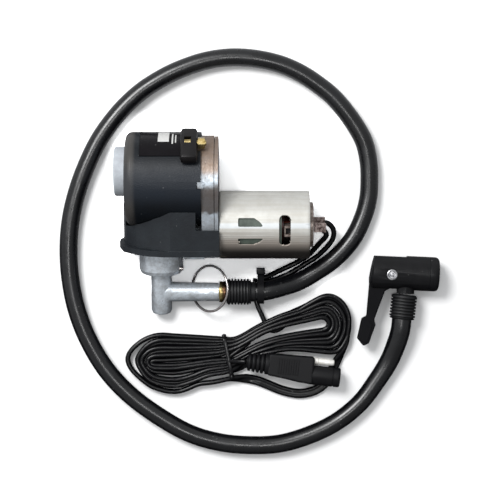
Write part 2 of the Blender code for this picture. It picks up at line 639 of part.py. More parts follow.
def make_gear_case(pump):
    """Zinc casting: gear cup, bearing hub, cylinder deck and barrel in one."""
    gear_left, gear_right, rim, plate_left, plate_right = gear_layout()
    floor = gear_left - GAP
    back = COVER_RIM_X + GAP
    case = plate("gear_case", [case_outline(CASE_RADIUS, CASE_LOBE_RADIUS)], back, rim, ZINC, pump)
    spigot = rod("case_spigot", CASE_RADIUS - GAP / 2, back - SPIGOT_LENGTH, back + MM, None, pump, steps=40)
    hub = rod("case_hub", HUB_RADIUS, floor - HUB_LENGTH, floor - MM, None, pump)
    tab = block(
        "case_tab", (back - TAB_LENGTH, TAB_LOW, CASE_RADIUS - 2 * MM), (back + MM, TAB_HIGH, COVER_RADIUS - GAP),
        None, pump,
    )
    barrel_radius = BORE_RADIUS + LINER_WALL + GAP + BARREL_WALL
    deck_outline = wrapped([(barrel_radius + 2 * GAP, (CYLINDER_X, 0)), (HUB_RADIUS + 2 * MM, (back - 9 * MM, 0))], 24)
    deck = plate(
        "case_deck", [deck_outline], DECK_HEIGHT, DECK_HEIGHT + DECK_THICKNESS, None, pump, rotation=TO_HEAD
    )
    barrel = rod(
        "case_barrel", barrel_radius, DECK_HEIGHT + DECK_THICKNESS / 2, COWL_SKIRT - 3 * GAP, None, pump,
        (CYLINDER_X, 0, 0), TO_HEAD,
    )
    foot = block(
        "case_foot", (back - 10.4 * MM, 1 * MM - GEAR_CENTRES - CASE_LOBE_RADIUS, -3 * MM),
        (back + MM, 3.4 * MM - GEAR_CENTRES - CASE_LOBE_RADIUS, 9 * MM), None, pump,
    )
    join(case, spigot, hub, tab, deck, barrel, foot)
    gear_tip = GEAR_MODULE * (GEAR_TEETH / 2 + 1)
    pinion_tip = GEAR_MODULE * (PINION_TEETH / 2 + 1)
    pocket = plate(
        "case_gear_pocket",
        [wrapped([(gear_tip + 2 * GAP, (0, 0)), (pinion_tip + 4 * GAP, (0, -GEAR_CENTRES))], 36)],
        floor, rim + MM, None, pump,
    )
    bearing_hole = rod(
        "case_bearing_hole", CRANK_SHAFT_RADIUS + BEARING_WALL + 2 * GAP, floor - HUB_LENGTH - MM, floor + MM,
        None, pump,
    )
    relief = rod("case_spigot_relief", CASE_RADIUS - 2.5 * MM, back - SPIGOT_LENGTH - MM, back, None, pump, steps=32)
    relief_core = rod(
        "case_spigot_relief_core", HUB_RADIUS - GAP, back - SPIGOT_LENGTH - 2 * MM, back + MM, None, pump
    )
    cut(relief, relief_core)
    liner_hole = rod(
        "case_liner_hole", BORE_RADIUS + LINER_WALL + GAP, DECK_HEIGHT - MM, COWL_SKIRT, None, pump,
        (CYLINDER_X, 0, 0), TO_HEAD, 26,
    )
    screws = [
        rod(
            f"case_screw_pocket_{side:+d}", MOTOR_SCREW_HEAD + GAP, rim - MOTOR_SCREW_HEIGHT - 2 * GAP, rim + MM,
            None, pump, (0, -GEAR_CENTRES, side * MOTOR_SCREW_PITCH / 2), steps=16,
        )
        for side in (-1, 1)
    ]
    cut(case, pocket, bearing_hole, relief, liner_hole, *screws)


def make_motor_plate(pump):
    gear_left, gear_right, rim, plate_left, plate_right = gear_layout()
    holes = [circle(BUSH_RADIUS + GAP, (0, -GEAR_CENTRES))]
    for side in (-1, 1):
        holes.append(circle(MOTOR_SCREW_RADIUS + GAP, (side * MOTOR_SCREW_PITCH / 2, -GEAR_CENTRES), 16))
    plate(
        "motor_plate", [case_outline(CASE_RADIUS - 0.5 * MM, CASE_LOBE_RADIUS - 0.2 * MM), *holes],
        plate_left, plate_right, ZINC, pump,
    )


def make_motor(pump):
    """Steel can with its magnets, brushes, bushes, end bell and terminals."""
    axis = (0, -GEAR_CENTRES, 0)
    inner = MOTOR_RADIUS - MOTOR_WALL
    end = MOTOR_X + MOTOR_LENGTH
    can = turned(
        "motor_can",
        [
            (MOTOR_RADIUS - 0.8 * MM, end), (MOTOR_RADIUS, end - 0.8 * MM), (MOTOR_RADIUS, MOTOR_X + 1.2 * MM),
            (MOTOR_RADIUS - 1.2 * MM, MOTOR_X), (BUSH_RADIUS + GAP, MOTOR_X), (BUSH_RADIUS + GAP, MOTOR_X + MOTOR_WALL),
            (inner, MOTOR_X + MOTOR_WALL), (inner, end),
        ],
        GALVANISED, pump, axis, steps=36, ring=True,
    )
    cutters = []
    for side in (-1, 1):
        cutters.append(rod(
            f"can_screw_hole_{side:+d}", MOTOR_SCREW_RADIUS + GAP, 0, 3 * MM, None, pump,
            (0, -GEAR_CENTRES, side * MOTOR_SCREW_PITCH / 2), steps=12,
        ))
    vents = (MOTOR_X + VENT_START, MOTOR_X + VENT_END)
    brush_slot = (end - BRUSH_SLOT_START, end - BRUSH_SLOT_END)
    for number, ((low, high), middle, tall) in enumerate(
        ((vents, 4.4 * MM, 4.4 * MM), (vents, -6.0 * MM, 3.6 * MM), (brush_slot, -1.0 * MM, 16.0 * MM)), 1
    ):
        cutters.append(block(
            f"can_window_{number}", (low, middle - tall / 2, inner / 2), (high, middle + tall / 2, MOTOR_RADIUS + MM),
            None, pump, axis, round_by=1.4 * MM,
        ))
    cut(can, *cutters)
    magnet_low = ARMATURE_X - MAGNET_LEAD
    magnet_high = magnet_low + armature_length() + MAGNET_OVERHANG
    for number, start in enumerate((radians(-58), radians(122)), 1):
        plate(
            f"magnet_{number}",
            [arc_band(inner - GAP, inner - MAGNET_THICKNESS, start, start + radians(116))],
            magnet_low, magnet_high, FERRITE, pump, axis,
        )
    bell = turned(
        "end_bell",
        [
            (BELL_BOSS_RADIUS, end + BELL_BOSS_HEIGHT), (BELL_BOSS_RADIUS, end), (inner - GAP, end),
            (inner - GAP, end - BELL_THICKNESS), (BUSH_RADIUS + GAP, end - BELL_THICKNESS),
            (BUSH_RADIUS + GAP, end + BELL_BOSS_HEIGHT),
        ],
        BLACK_PLASTIC, pump, axis, steps=32, ring=True,
    )
    brush_x = commutator_x() + COMMUTATOR_LENGTH / 2
    for number, side in enumerate((-1, 1), 1):
        low, high = sorted((side * (COMMUTATOR_RADIUS + 2.5 * MM), side * (inner - 4 * GAP - 1.5 * MM)))
        holder = block(
            f"brush_holder_{number}", (brush_x - 3.2 * MM, -3 * MM, low), (end - BELL_THICKNESS / 2, 3 * MM, high),
            None, pump, axis,
        )
        join(bell, holder)
    for number, side in enumerate((-1, 1), 1):
        low, high = sorted((side * (COMMUTATOR_RADIUS + GAP), side * (COMMUTATOR_RADIUS + 7 * MM)))
        cutter = block(
            f"brush_slot_{number}", (brush_x - 2 * MM - GAP, -1.5 * MM - GAP, low - 9 * MM * (side < 0)),
            (brush_x + 2 * MM + GAP, 1.5 * MM + GAP, high + 9 * MM * (side > 0)), None, pump, axis,
        )
        cut(bell, cutter)
        block(
            f"brush_{number}", (brush_x - 2 * MM, -1.5 * MM, low), (brush_x + 2 * MM, 1.5 * MM, high), CARBON,
            pump, axis,
        )
        z = side * TERMINAL_HEIGHT
        block(
            f"terminal_{number}",
            (end + BELL_BOSS_HEIGHT + GAP, -TERMINAL_WIDTH / 2, z - TERMINAL_THICKNESS / 2),
            (end + BELL_BOSS_HEIGHT + GAP + TERMINAL_LENGTH, TERMINAL_WIDTH / 2, z + TERMINAL_THICKNESS / 2),
            COPPER, pump, axis,
        )
    plate_left = gear_layout()[3]
    bore = SHAFT_RADIUS + GAP
    tube("front_bush", BUSH_RADIUS, bore, plate_left + GAP, MOTOR_X + MOTOR_WALL + 2 * MM, BRONZE, pump, axis, steps=20)
    tube("rear_bush", BUSH_RADIUS, bore, end - BELL_THICKNESS, end + BELL_BOSS_HEIGHT, BRONZE, pump, axis, steps=20)


def commutator_x():
    return MOTOR_X + MOTOR_LENGTH - BELL_THICKNESS - BRUSH_ROOM - COMMUTATOR_LENGTH


def armature_length():
    """The core fills what the winding and the commutator leave it."""
    return commutator_x() - 2 * GAP - WINDING_END - ARMATURE_X



def core_outline():
    """Five T-shaped poles round a hub."""
    outline = []
    inner = ARMATURE_RADIUS - SHOE_THICKNESS
    half_shoe = radians(30)
    for pole in range(ARMATURE_POLES):
        middle = pi / 2 + 2 * pi * pole / ARMATURE_POLES
        hub, neck = asin(POLE_NECK / SLOT_ROOT), asin(POLE_NECK / inner)
        spots = [(SLOT_ROOT, -hub), (inner, -neck), (inner, -half_shoe)]
        spots += [(ARMATURE_RADIUS, half_shoe * (i / 3 - 1)) for i in range(7)]
        spots += [(inner, half_shoe), (inner, neck), (SLOT_ROOT, hub)]
        outline += [(r * cos(middle + a), r * sin(middle + a)) for r, a in spots]
    return outline


def slot_bars():
    """The copper in each slot, clear of the poles on both sides."""
    bars = []
    inner, outer = SLOT_ROOT + 3 * GAP, ARMATURE_RADIUS - SHOE_THICKNESS - 2 * GAP
    half = pi / ARMATURE_POLES
    for slot in range(ARMATURE_POLES):
        middle = pi / 2 + half * (2 * slot + 1)
        near, far = (half - asin((POLE_NECK + GAP) / r) for r in (inner, outer))
        bars.append([
            (r * cos(middle + a), r * sin(middle + a))
            for r, a in ((inner, -near), (outer, -far), (outer, far), (inner, near))
        ])
    return bars


def make_armature(pump):
    axis = frame_empty("armature_axis", (0, -GEAR_CENTRES, 0), parent=pump)
    gear_left, gear_right = gear_layout()[:2]
    end = MOTOR_X + MOTOR_LENGTH + BELL_BOSS_HEIGHT
    rod("motor_shaft", SHAFT_RADIUS, gear_left, end - GAP, STEEL, axis, steps=16)
    core_low, core_high = ARMATURE_X, ARMATURE_X + armature_length()
    bore = circle(SHAFT_RADIUS + GAP, count=16)
    plate("armature_core", [core_outline(), bore], core_low, core_high, STEEL, axis)
    low, high = core_low - WINDING_END, core_high + WINDING_END
    bars = plate("armature_winding", slot_bars(), low + MM, high - MM, COPPER, axis)
    coil_outer = ARMATURE_RADIUS - SHOE_THICKNESS - GAP
    coil_inner = SHAFT_RADIUS + 2 * GAP
    join(
        bars,
        tube("winding_end_1", coil_outer, coil_inner, low, core_low - GAP, None, axis, steps=20),
        tube("winding_end_2", coil_outer, coil_inner, core_high + GAP, high, None, axis, steps=20),
    )
    x = commutator_x()
    tube("commutator", COMMUTATOR_RADIUS, SHAFT_RADIUS + GAP, x, x + COMMUTATOR_LENGTH, COPPER, axis, steps=20)
    plate("pinion", [gear_outline(PINION_TEETH, pi / 2, 3), bore], gear_left, gear_right, BRASS, axis)


def crank_layout():
    """X of the crank web's faces and of the rod's faces, left of the case hub."""
    hub_end = gear_layout()[0] - GAP - HUB_LENGTH
    web_right = hub_end - 2 * GAP
    web_left = web_right - CRANK_WEB_THICKNESS
    return web_left, web_right, CYLINDER_X - ROD_THICKNESS / 2, CYLINDER_X + ROD_THICKNESS / 2


def make_crank(pump):
    axis = frame_empty("crank_axis", (0, 0, 0), parent=pump)
    gear_left, gear_right = gear_layout()[:2]
    web_left, web_right = crank_layout()[:2]
    bore = circle(CRANK_SHAFT_RADIUS + GAP, count=16)
    plate(
        "crank_gear", [gear_outline(GEAR_TEETH, -pi / 2 + pi / GEAR_TEETH, 2), bore],
        gear_left, gear_right, STEEL, axis,
    )
    shaft = rod("crankshaft", CRANK_SHAFT_RADIUS, web_left + MM, gear_right, STEEL, axis, steps=16)
    outline = wrapped([(CRANK_WEB_RADIUS, (0, 0)), (CRANK_PIN_RADIUS + 2.2 * MM, (0, CRANK_THROW))], 32)
    join(shaft, plate("crank_web", [outline], web_left, web_right, None, axis))
    hub_end = web_right + 2 * GAP
    tube(
        "crank_bearing", CRANK_SHAFT_RADIUS + GAP + BEARING_WALL, CRANK_SHAFT_RADIUS + GAP, hub_end + GAP,
        gear_left - 2 * GAP, BRONZE, pump, steps=20,
    )


def wrist_height():
    """From the crank axis to the wrist pin, with the crank pin at its far dead centre."""
    return ROD_LENGTH - CRANK_THROW


def make_piston(pump):
    """Piston, seal and wrist pin. They slide towards the head by twice the crank's throw."""
    axis = frame_empty("piston_axis", (CYLINDER_X, -wrist_height(), 0), parent=pump)
    radius = BORE_RADIUS - PISTON_CLEARANCE
    top, crown = -3 * MM, PISTON_HEIGHT - 3 * MM
    groove = crown - 1.2 * MM
    inner = radius - PISTON_WALL
    depth = SEAL_DEPTH + GAP
    piston = turned(
        "piston",
        [
            (0, crown), (radius, crown), (radius, groove), (radius - depth, groove),
            (radius - depth, groove - SEAL_HEIGHT - 2 * GAP), (radius, groove - SEAL_HEIGHT - 2 * GAP),
            (radius, top), (inner, top), (inner, crown - PISTON_CROWN), (0, crown - PISTON_CROWN),
        ],
        ZINC, axis, rotation=TO_HEAD, steps=32,
    )
    cut(piston, rod("piston_pin_hole", WRIST_PIN_RADIUS + GAP, -2 * radius, 2 * radius, None, axis, steps=16))
    tube(
        "piston_seal", BORE_RADIUS - SEAL_CLEARANCE, radius - SEAL_DEPTH, groove - GAP - SEAL_HEIGHT, groove - GAP,
        RUBBER, axis, rotation=TO_HEAD,
    )
    rod("wrist_pin", WRIST_PIN_RADIUS, -inner - 1.2 * MM, inner + 1.2 * MM, STEEL, axis, steps=16)
    return axis


def make_connecting_rod(pump):
    """Rod, needle bearing and the shoulder screw that is its crank pin."""
    axis = frame_empty("rod_axis", (CYLINDER_X, -wrist_height(), 0), parent=pump)
    big = (0, ROD_LENGTH)
    needle_outer = CRANK_PIN_RADIUS + GAP + NEEDLE_WALL
    outline = wrapped([(ROD_SMALL_RADIUS, (0, 0)), (ROD_BIG_RADIUS, big)], 24)
    holes = [circle(WRIST_PIN_RADIUS + GAP, count=16), circle(needle_outer + GAP, big, 20)]
    half = ROD_THICKNESS / 2
    plate("connecting_rod", [outline, *holes], -half, half, ZINC, axis)
    at = (0, ROD_LENGTH, 0)
    tube("rod_bearing", needle_outer, CRANK_PIN_RADIUS + GAP, -half, half, STEEL, axis, at, steps=20)
    web_left = crank_layout()[0] - CYLINDER_X
    head_radius, head_end = CRANK_PIN_RADIUS + 1.6 * MM, -half - 2.4 * MM
    pin = [
        (0, web_left - GAP), (CRANK_PIN_RADIUS, web_left - GAP), (CRANK_PIN_RADIUS, -half - GAP),
        (head_radius, -half - GAP), (head_radius, head_end), (0, head_end),
    ]
    turned("crank_pin", pin, STEEL, axis, at, steps=16)


def cylinder_layout():
    """Distances from the crank axis: liner top, liner end, valve plate's two faces, head face."""
    liner_top = DECK_HEIGHT - DECK_THICKNESS
    liner_end = wrist_height() + PISTON_HEIGHT - 3 * MM + 2 * CRANK_THROW + TOP_CLEARANCE
    plate_top = liner_end + 3 * GAP + SEAL_HEIGHT / 2
    return liner_top, liner_end, plate_top, plate_top + VALVE_PLATE_THICKNESS, COWL_SKIRT - 2 * GAP


def make_cylinder(pump):
    liner_top, liner_end, plate_top, plate_end, head_top = cylinder_layout()
    at = (CYLINDER_X, 0, 0)
    outer = BORE_RADIUS + LINER_WALL
    tube("cylinder_liner", outer, BORE_RADIUS, liner_top, liner_end, BRONZE, pump, at, TO_HEAD)
    tube("head_seal", outer, BORE_RADIUS, liner_end + GAP, plate_top - GAP, RUBBER, pump, at, TO_HEAD)
    tube("valve_plate", outer, VALVE_PORT_RADIUS, plate_top, plate_end, STEEL, pump, at, TO_HEAD)
    disc = frame_empty("valve_axis", (CYLINDER_X, -plate_end - GAP, 0), parent=pump)
    rod("valve_disc", VALVE_DISC_RADIUS, 0, VALVE_DISC_THICKNESS, RUBBER, disc, rotation=TO_HEAD, steps=20)
    low = plate_end + VALVE_DISC_THICKNESS + VALVE_LIFT + 2 * GAP
    high = plate_end + VALVE_CHAMBER_DEPTH - 2 * GAP
    turns, per_turn = 3, 8
    points = [
        (2.4 * MM * cos(2 * pi * i / per_turn), 2.4 * MM * sin(2 * pi * i / per_turn),
         low + (high - low) * i / (turns * per_turn))
        for i in range(turns * per_turn + 1)
    ]
    curve = bpy.data.curves.new("valve_spring", "CURVE")
    curve.dimensions = "3D"
    curve.bevel_depth = 0.25 * MM
    curve.bevel_resolution = 1
    curve.use_fill_caps = True
    spline = curve.splines.new("POLY")
    spline.points.add(len(points) - 1)
    for point, spot in zip(spline.points, points):
        point.co = (*spot, 1)
    place("valve_spring", curve, STEEL, pump, at, TO_HEAD)


def head_base():
    """The head's lower face, from the crank axis."""
    return cylinder_layout()[3] + VALVE_CHAMBER_DEPTH + HEAD_FLOOR


def outlet_depth():
    """The outlet tube's axis, from the crank axis."""
    return head_base() + OUTLET_DROP


def make_head(pump):
    """Cylinder head with the down tube and the outlet tube, cast in one."""
    liner_top, liner_end, plate_top, plate_end, head_top = cylinder_layout()
    at = (CYLINDER_X, 0, 0)
    base = head_base()
    depth = outlet_depth()
    tip = depth + OUTLET_TIP
    c = HEAD_CORNER
    t = OUTLET_RADIUS / 2.4
    head = turned(
        "head_casting",
        [
            (0, tip), (OUTLET_RADIUS - t, tip), (OUTLET_RADIUS - 0.3 * t, tip - 0.3 * t), (OUTLET_RADIUS, tip - t),
            (OUTLET_RADIUS, base), (HEAD_RADIUS - c, base), (HEAD_RADIUS - 0.3 * c, base - 0.3 * c),
            (HEAD_RADIUS, base - c), (HEAD_RADIUS, head_top), (0, head_top),
        ],
        ZINC, pump, at, TO_HEAD, steps=32,
    )
    outlet = turned(
        "head_outlet",
        [
            (0, OUTLET_END_X), (OUTLET_END_RADIUS, OUTLET_END_X), (OUTLET_RADIUS - 0.15 * MM, CYLINDER_X),
            (0, CYLINDER_X),
        ],
        None, pump, (0, -depth, 0), steps=24,
    )
    join(head, outlet)
    chamber = plate_end + VALVE_CHAMBER_DEPTH
    seat = BORE_RADIUS + LINER_WALL + GAP
    passage = turned(
        "head_passage",
        [
            (0, depth + OUTLET_BORE / 3), (0.9 * OUTLET_BORE, depth + OUTLET_BORE / 3),
            (0.9 * OUTLET_BORE, chamber), (VALVE_CHAMBER_RADIUS, chamber),
            (VALVE_CHAMBER_RADIUS, plate_end + GAP), (seat, plate_end + GAP), (seat, head_top - MM), (0, head_top - MM),
        ],
        None, pump, at, TO_HEAD, steps=24,
    )
    outlet_bore = rod(
        "head_outlet_bore", OUTLET_BORE, CYLINDER_X - OUTLET_BORE / 2, OUTLET_END_X + MM, None, pump,
        (0, -depth, 0), steps=18,
    )
    screw_at = (CYLINDER_X + HEAD_RADIUS - 1.2 * MM, SET_SCREW_RISE - chamber, 5 * MM)
    half = SET_SCREW_LENGTH / 2
    screw_hole = rod("head_screw_hole", SET_SCREW_RADIUS + GAP, -GAP - half, 3 * MM, None, pump, screw_at)
    cut(head, passage, outlet_bore, screw_hole)
    rod("head_set_screw", SET_SCREW_RADIUS, -half, half, STEEL, pump, screw_at, steps=12)
    ferrule_low = OUTLET_END_X + GAP
    ferrule_high = ferrule_low + FERRULE_LENGTH
    barb_end = nut_start() + NUT_LENGTH
    turned(
        "hose_barb",
        [
            (BARB_RADIUS, barb_end), (BARB_RADIUS, ferrule_high), (FERRULE_RADIUS, ferrule_high),
            (FERRULE_RADIUS, ferrule_low), (OUTLET_BORE - GAP, ferrule_low), (OUTLET_BORE - GAP, ferrule_low - 8 * MM),
            (1.4 * MM, ferrule_low - 8 * MM), (1.4 * MM, barb_end),
        ],
        BRASS, pump, (0, -depth, 0), steps=20, ring=True,
    )


def nut_start():
    return OUTLET_END_X + GAP + FERRULE_LENGTH + GAP


def nut_profile(collar_length):
    """Ribs along the nut, then its smaller collar, running down to height 0."""
    pitch = NUT_LENGTH / NUT_RIBS
    valley = NUT_RADIUS - 0.7 * MM
    rising = [(valley - 0.6 * MM, 0)]
    for rib in range(NUT_RIBS):
        rising += [(NUT_RADIUS, (rib + 0.5) * pitch), (valley, (rib + 1) * pitch)]
    top = NUT_LENGTH
    if collar_length:
        collar = HOSE_RADIUS + 0.5 * MM
        top += collar_length
        rising += [(collar, NUT_LENGTH + GAP), (collar, top)]
    bore = BARB_RADIUS + GAP
    return rising[::-1] + [(bore, 0), (bore, top)]


def make_cowl(pump):
    """Black moulded cowl round the cylinder, with a flanged skirt and a foot over the gear case."""
    left = COVER_RIM_X - COVER_LENGTH - COWL_WALL - 2 * GAP
    back_end = COVER_RIM_X - SPIGOT_LENGTH - 2 * GAP
    outline = [
        (COWL_FOOT_END, COWL_FRONT), (CYLINDER_X + 6 * MM, COWL_FRONT), (CYLINDER_X - 3 * MM, COWL_FRONT - 3.6 * MM),
        (CYLINDER_X - 12.5 * MM, COWL_FRONT - 9.5 * MM), (left + 1.7 * MM, 5 * MM), (left, -1 * MM),
        (left + 1.2 * MM, -8 * MM), (CYLINDER_X - 13 * MM, COWL_BACK + 1.3 * MM), (CYLINDER_X - 5 * MM, COWL_BACK),
        (back_end, COWL_BACK),
    ]
    inner = inset_path(outline, COWL_WALL)
    cowl = plate(
        "cylinder_cowl", [outline + inner[::-1]], 0.5 * MM, COWL_SKIRT, BLACK_PLASTIC, pump, rotation=TO_HEAD
    )
    reach = COWL_FLANGE_REACH
    flange_outline = [
        (COWL_FOOT_END, COWL_FRONT + 0.5 * MM), (CYLINDER_X + 2 * MM, COWL_FRONT + 0.5 * MM),
        (CYLINDER_X - 6 * MM, COWL_FRONT - 1.2 * MM), (CYLINDER_X - 12.6 * MM, COWL_FRONT - 4.6 * MM),
        (left + 1.6 * MM - reach / 2, 11.4 * MM), (left - reach, 2 * MM), (left - reach, -4 * MM),
        (left + 1.2 * MM - reach / 2, -10 * MM), (CYLINDER_X - 13 * MM, COWL_BACK + 0.4 * MM),
        (CYLINDER_X - 6 * MM, COWL_BACK), (back_end, COWL_BACK),
    ]
    flange = plate(
        "cowl_flange", [flange_outline + inner[::-1]], COWL_SKIRT - COWL_FLANGE, COWL_SKIRT, None, pump,
        rotation=TO_HEAD,
    )
    floor_outline = [(back_end, COWL_FRONT - COWL_WALL / 2), *inner[1:-1], (back_end, COWL_BACK + COWL_WALL / 2)]
    floor_high = COWL_SKIRT
    floor = plate("cowl_floor", [floor_outline], floor_high - COWL_WALL, floor_high, None, pump, rotation=TO_HEAD)
    join(cowl, flange, floor)
    barrel_hole = rod(
        "cowl_barrel_hole", BORE_RADIUS + LINER_WALL + BARREL_WALL + 2 * GAP, COWL_SKIRT - 5 * MM, COWL_SKIRT + MM,
        None, pump, (CYLINDER_X, 0, 0), TO_HEAD, 32,
    )
    cover_space = rod(
        "cowl_cover_space", COVER_RADIUS + GAP, COVER_RIM_X - COVER_LENGTH - GAP, 5 * MM, None, pump, steps=40
    )
    notch = block(
        "cowl_side_notch", (back_end, -COWL_FOOT_TOP, 0), (5 * MM, 5 * MM, COWL_FRONT + 5 * MM), None, pump
    )
    top_trim = block(
        "cowl_top_trim", (left - 5 * MM, -13.9 * MM, -COWL_FRONT), (left + 5 * MM, 5 * MM, COWL_FRONT), None, pump
    )
    foot_space = block(
        "cowl_foot_space", (back_end - GAP, -COWL_SKIRT - MM, COWL_BACK - MM), (5 * MM, 0, COWL_FRONT - 2.2 * MM),
        None, pump,
    )
    cut(cowl, barrel_hole, cover_space, notch, top_trim, foot_space)


def inset_path(points, distance):
    """The open path moved to its left by the distance, mitred at its corners."""
    moved = []
    for index, point in enumerate(points):
        before = Vector(points[max(index - 1, 0)])
        after = Vector(points[min(index + 1, len(points) - 1)])
        here = Vector(point)
        first = (here - before).normalized() if index else (after - here).normalized()
        second = (after - here).normalized() if index < len(points) - 1 else first
        normal = Vector((-first.y - second.y, first.x + second.x)).normalized()
        stretch = distance / max(0.3, normal.dot(Vector((-first.y, first.x))))
        moved.append(tuple(here + normal * stretch))
    return moved


def make_chuck():
    """Thumb-lock chuck: barrel with a clevis for the lever, nose cap, seal and plunger."""
    frame = frame_empty("chuck_frame", (*CHUCK_AT, CHUCK_RADIUS + 0.1 * MM), (0, 0, CHUCK_TURN))
    r = CHUCK_RADIUS
    body = turned(
        "chuck_body",
        [
            (0, CHUCK_JOINT), (r, CHUCK_JOINT), (r, CHUCK_LEFT + 1.5 * MM), (r - 1.5 * MM, CHUCK_LEFT), (0, CHUCK_LEFT),
        ],
        BLACK_PLASTIC, frame, steps=28,
    )
    stem = rod("chuck_stem", STEM_RADIUS, r / 2, r + STEM_LENGTH, None, frame, rotation=TO_HEAD)
    join(body, stem)
    pivot_x, pivot_y = CHUCK_PIVOT
    wall_left = cam_front() + 2 * GAP + 1.6 * MM
    bore_start = wall_left + 2.5 * MM
    slot = block(
        "chuck_slot", (CHUCK_LEFT - MM, -2 * r, -CHUCK_SLOT / 2), (wall_left, 2 * r, CHUCK_SLOT / 2), None, frame
    )
    slant = block(
        "chuck_slant", (-9 * MM, -30 * MM, -2 * r), (0, 30 * MM, 2 * r), None, frame,
        (CHUCK_LEFT + 0.6 * MM, 0, 0), (0, 0, radians(-9.5)),
    )
    bore = turned(
        "chuck_bore_cutter",
        [
            (0, CHUCK_JOINT + MM), (CHUCK_BORE, CHUCK_JOINT + MM), (CHUCK_BORE, bore_start),
            (PLUNGER_STEM + GAP, bore_start), (PLUNGER_STEM + GAP, wall_left - MM), (0, wall_left - MM),
        ],
        None, frame, steps=24,
    )
    air_hole = rod(
        "chuck_air_hole", 1.6 * MM, 0, r + STEM_LENGTH + MM, None, frame, (wall_left + 1.3 * MM, 0, 0), TO_HEAD, 12
    )
    head_depth = 1.2 * MM
    rivet_hole = rod(
        "chuck_rivet_hole", RIVET_RADIUS + GAP, -2 * r, 2 * r, None, frame, (pivot_x, pivot_y, 0), (0, 0, 0), 16
    )
    pockets = [
        rod(
            f"chuck_rivet_pocket_{side:+d}", RIVET_HEAD_RADIUS + GAP, *sorted((side * (r - head_depth), side * 2 * r)),
            None, frame, (pivot_x, pivot_y, 0), (0, 0, 0), 20,
        )
        for side in (-1, 1)
    ]
    cut(body, slot, slant, bore, air_hole, rivet_hole, *pockets)
    h = r - head_depth + GAP
    turned(
        "chuck_rivet",
        [
            (RIVET_HEAD_RADIUS - 0.3 * MM, h + 0.8 * MM), (RIVET_HEAD_RADIUS, h + 0.4 * MM), (RIVET_HEAD_RADIUS, h),
            (RIVET_RADIUS, h), (RIVET_RADIUS, -h), (RIVET_HEAD_RADIUS, -h), (RIVET_HEAD_RADIUS, -h - 0.5 * MM),
            (RIVET_RADIUS / 2, -h - 0.5 * MM), (RIVET_RADIUS / 2, h + 0.3 * MM), (RIVET_RADIUS, h + 0.8 * MM),
        ],
        STEEL, frame, (pivot_x, pivot_y, 0), (0, 0, 0), 20, ring=True,
    )
    joint = CHUCK_JOINT + GAP
    cap_wall = CHUCK_NOSE - 3.2 * MM
    turned(
        "chuck_cap",
        [
            (VALVE_MOUTH_RADIUS, CHUCK_NOSE), (r - 3.2 * MM, CHUCK_NOSE), (r - 0.9 * MM, CHUCK_NOSE - 0.9 * MM),
            (r, cap_wall), (r, joint), (CHUCK_BORE, joint), (CHUCK_BORE, cap_wall), (VALVE_MOUTH_RADIUS, cap_wall),
        ],
        BLACK_PLASTIC, frame, steps=32, ring=True,
    )
    seal_high = cap_wall - GAP
    seal_low = seal_high - SEAL_RING_LENGTH
    tube("chuck_seal", CHUCK_BORE - GAP, VALVE_MOUTH_RADIUS, seal_low, seal_high, RUBBER, frame, steps=24)
    plunger_front = seal_low - GAP
    turned(
        "chuck_plunger",
        [
            (0, plunger_front + 3.2 * MM), (1.4 * MM, plunger_front + 3.2 * MM), (1.4 * MM, plunger_front),
            (CHUCK_BORE - GAP, plunger_front), (CHUCK_BORE - GAP, plunger_front - 1.8 * MM),
            (PLUNGER_STEM, plunger_front - 1.8 * MM), (PLUNGER_STEM, cam_front() + GAP), (0, cam_front() + GAP),
        ],
        BRASS, frame, steps=20,
    )
    make_lever(frame)
    nut_frame = frame_empty(
        "chuck_nut_frame", (0, -r - STEM_LENGTH - 0.5 * MM, 0), (0, 0, CHUCK_NUT_TURN - CHUCK_TURN), frame
    )
    turned("hose_nut_chuck", nut_profile(0), BLACK_PLASTIC, nut_frame, rotation=TO_HEAD, steps=20, ring=True)


def cam_front():
    """X of the lever cam's front with the lever folded beside the hose."""
    return CHUCK_PIVOT[0] + LEVER_CAM_OFFSET * cos(pi / 4) + LEVER_CAM_RADIUS


def make_lever(frame):
    pivot = frame_empty("lever_axis", (*CHUCK_PIVOT, 0), parent=frame)
    offset = LEVER_CAM_OFFSET * cos(pi / 4)
    cam = [
        (offset + LEVER_CAM_RADIUS * cos(a), -offset + LEVER_CAM_RADIUS * sin(a))
        for a in (radians(-60 + 190 * i / 10) for i in range(11))
    ]
    arm = [
        (-9.6 * MM, 1.6 * MM), (-11.8 * MM, -4.4 * MM), (-12.6 * MM, -23.6 * MM), (-15.0 * MM, -24.8 * MM),
        (-17.2 * MM, -36.6 * MM), (-13.4 * MM, -40.2 * MM), (-10.6 * MM, -38.4 * MM), (-7.6 * MM, -27.6 * MM),
        (-8.0 * MM, -25.6 * MM), (-3.2 * MM, -9.6 * MM),
    ]
    half = LEVER_THICKNESS / 2
    plate(
        "chuck_lever", [cam + arm, circle(RIVET_RADIUS + GAP, count=16)], -half, half, BLACK_PLASTIC, pivot,
        rotation=(0, 0, 0),
    )


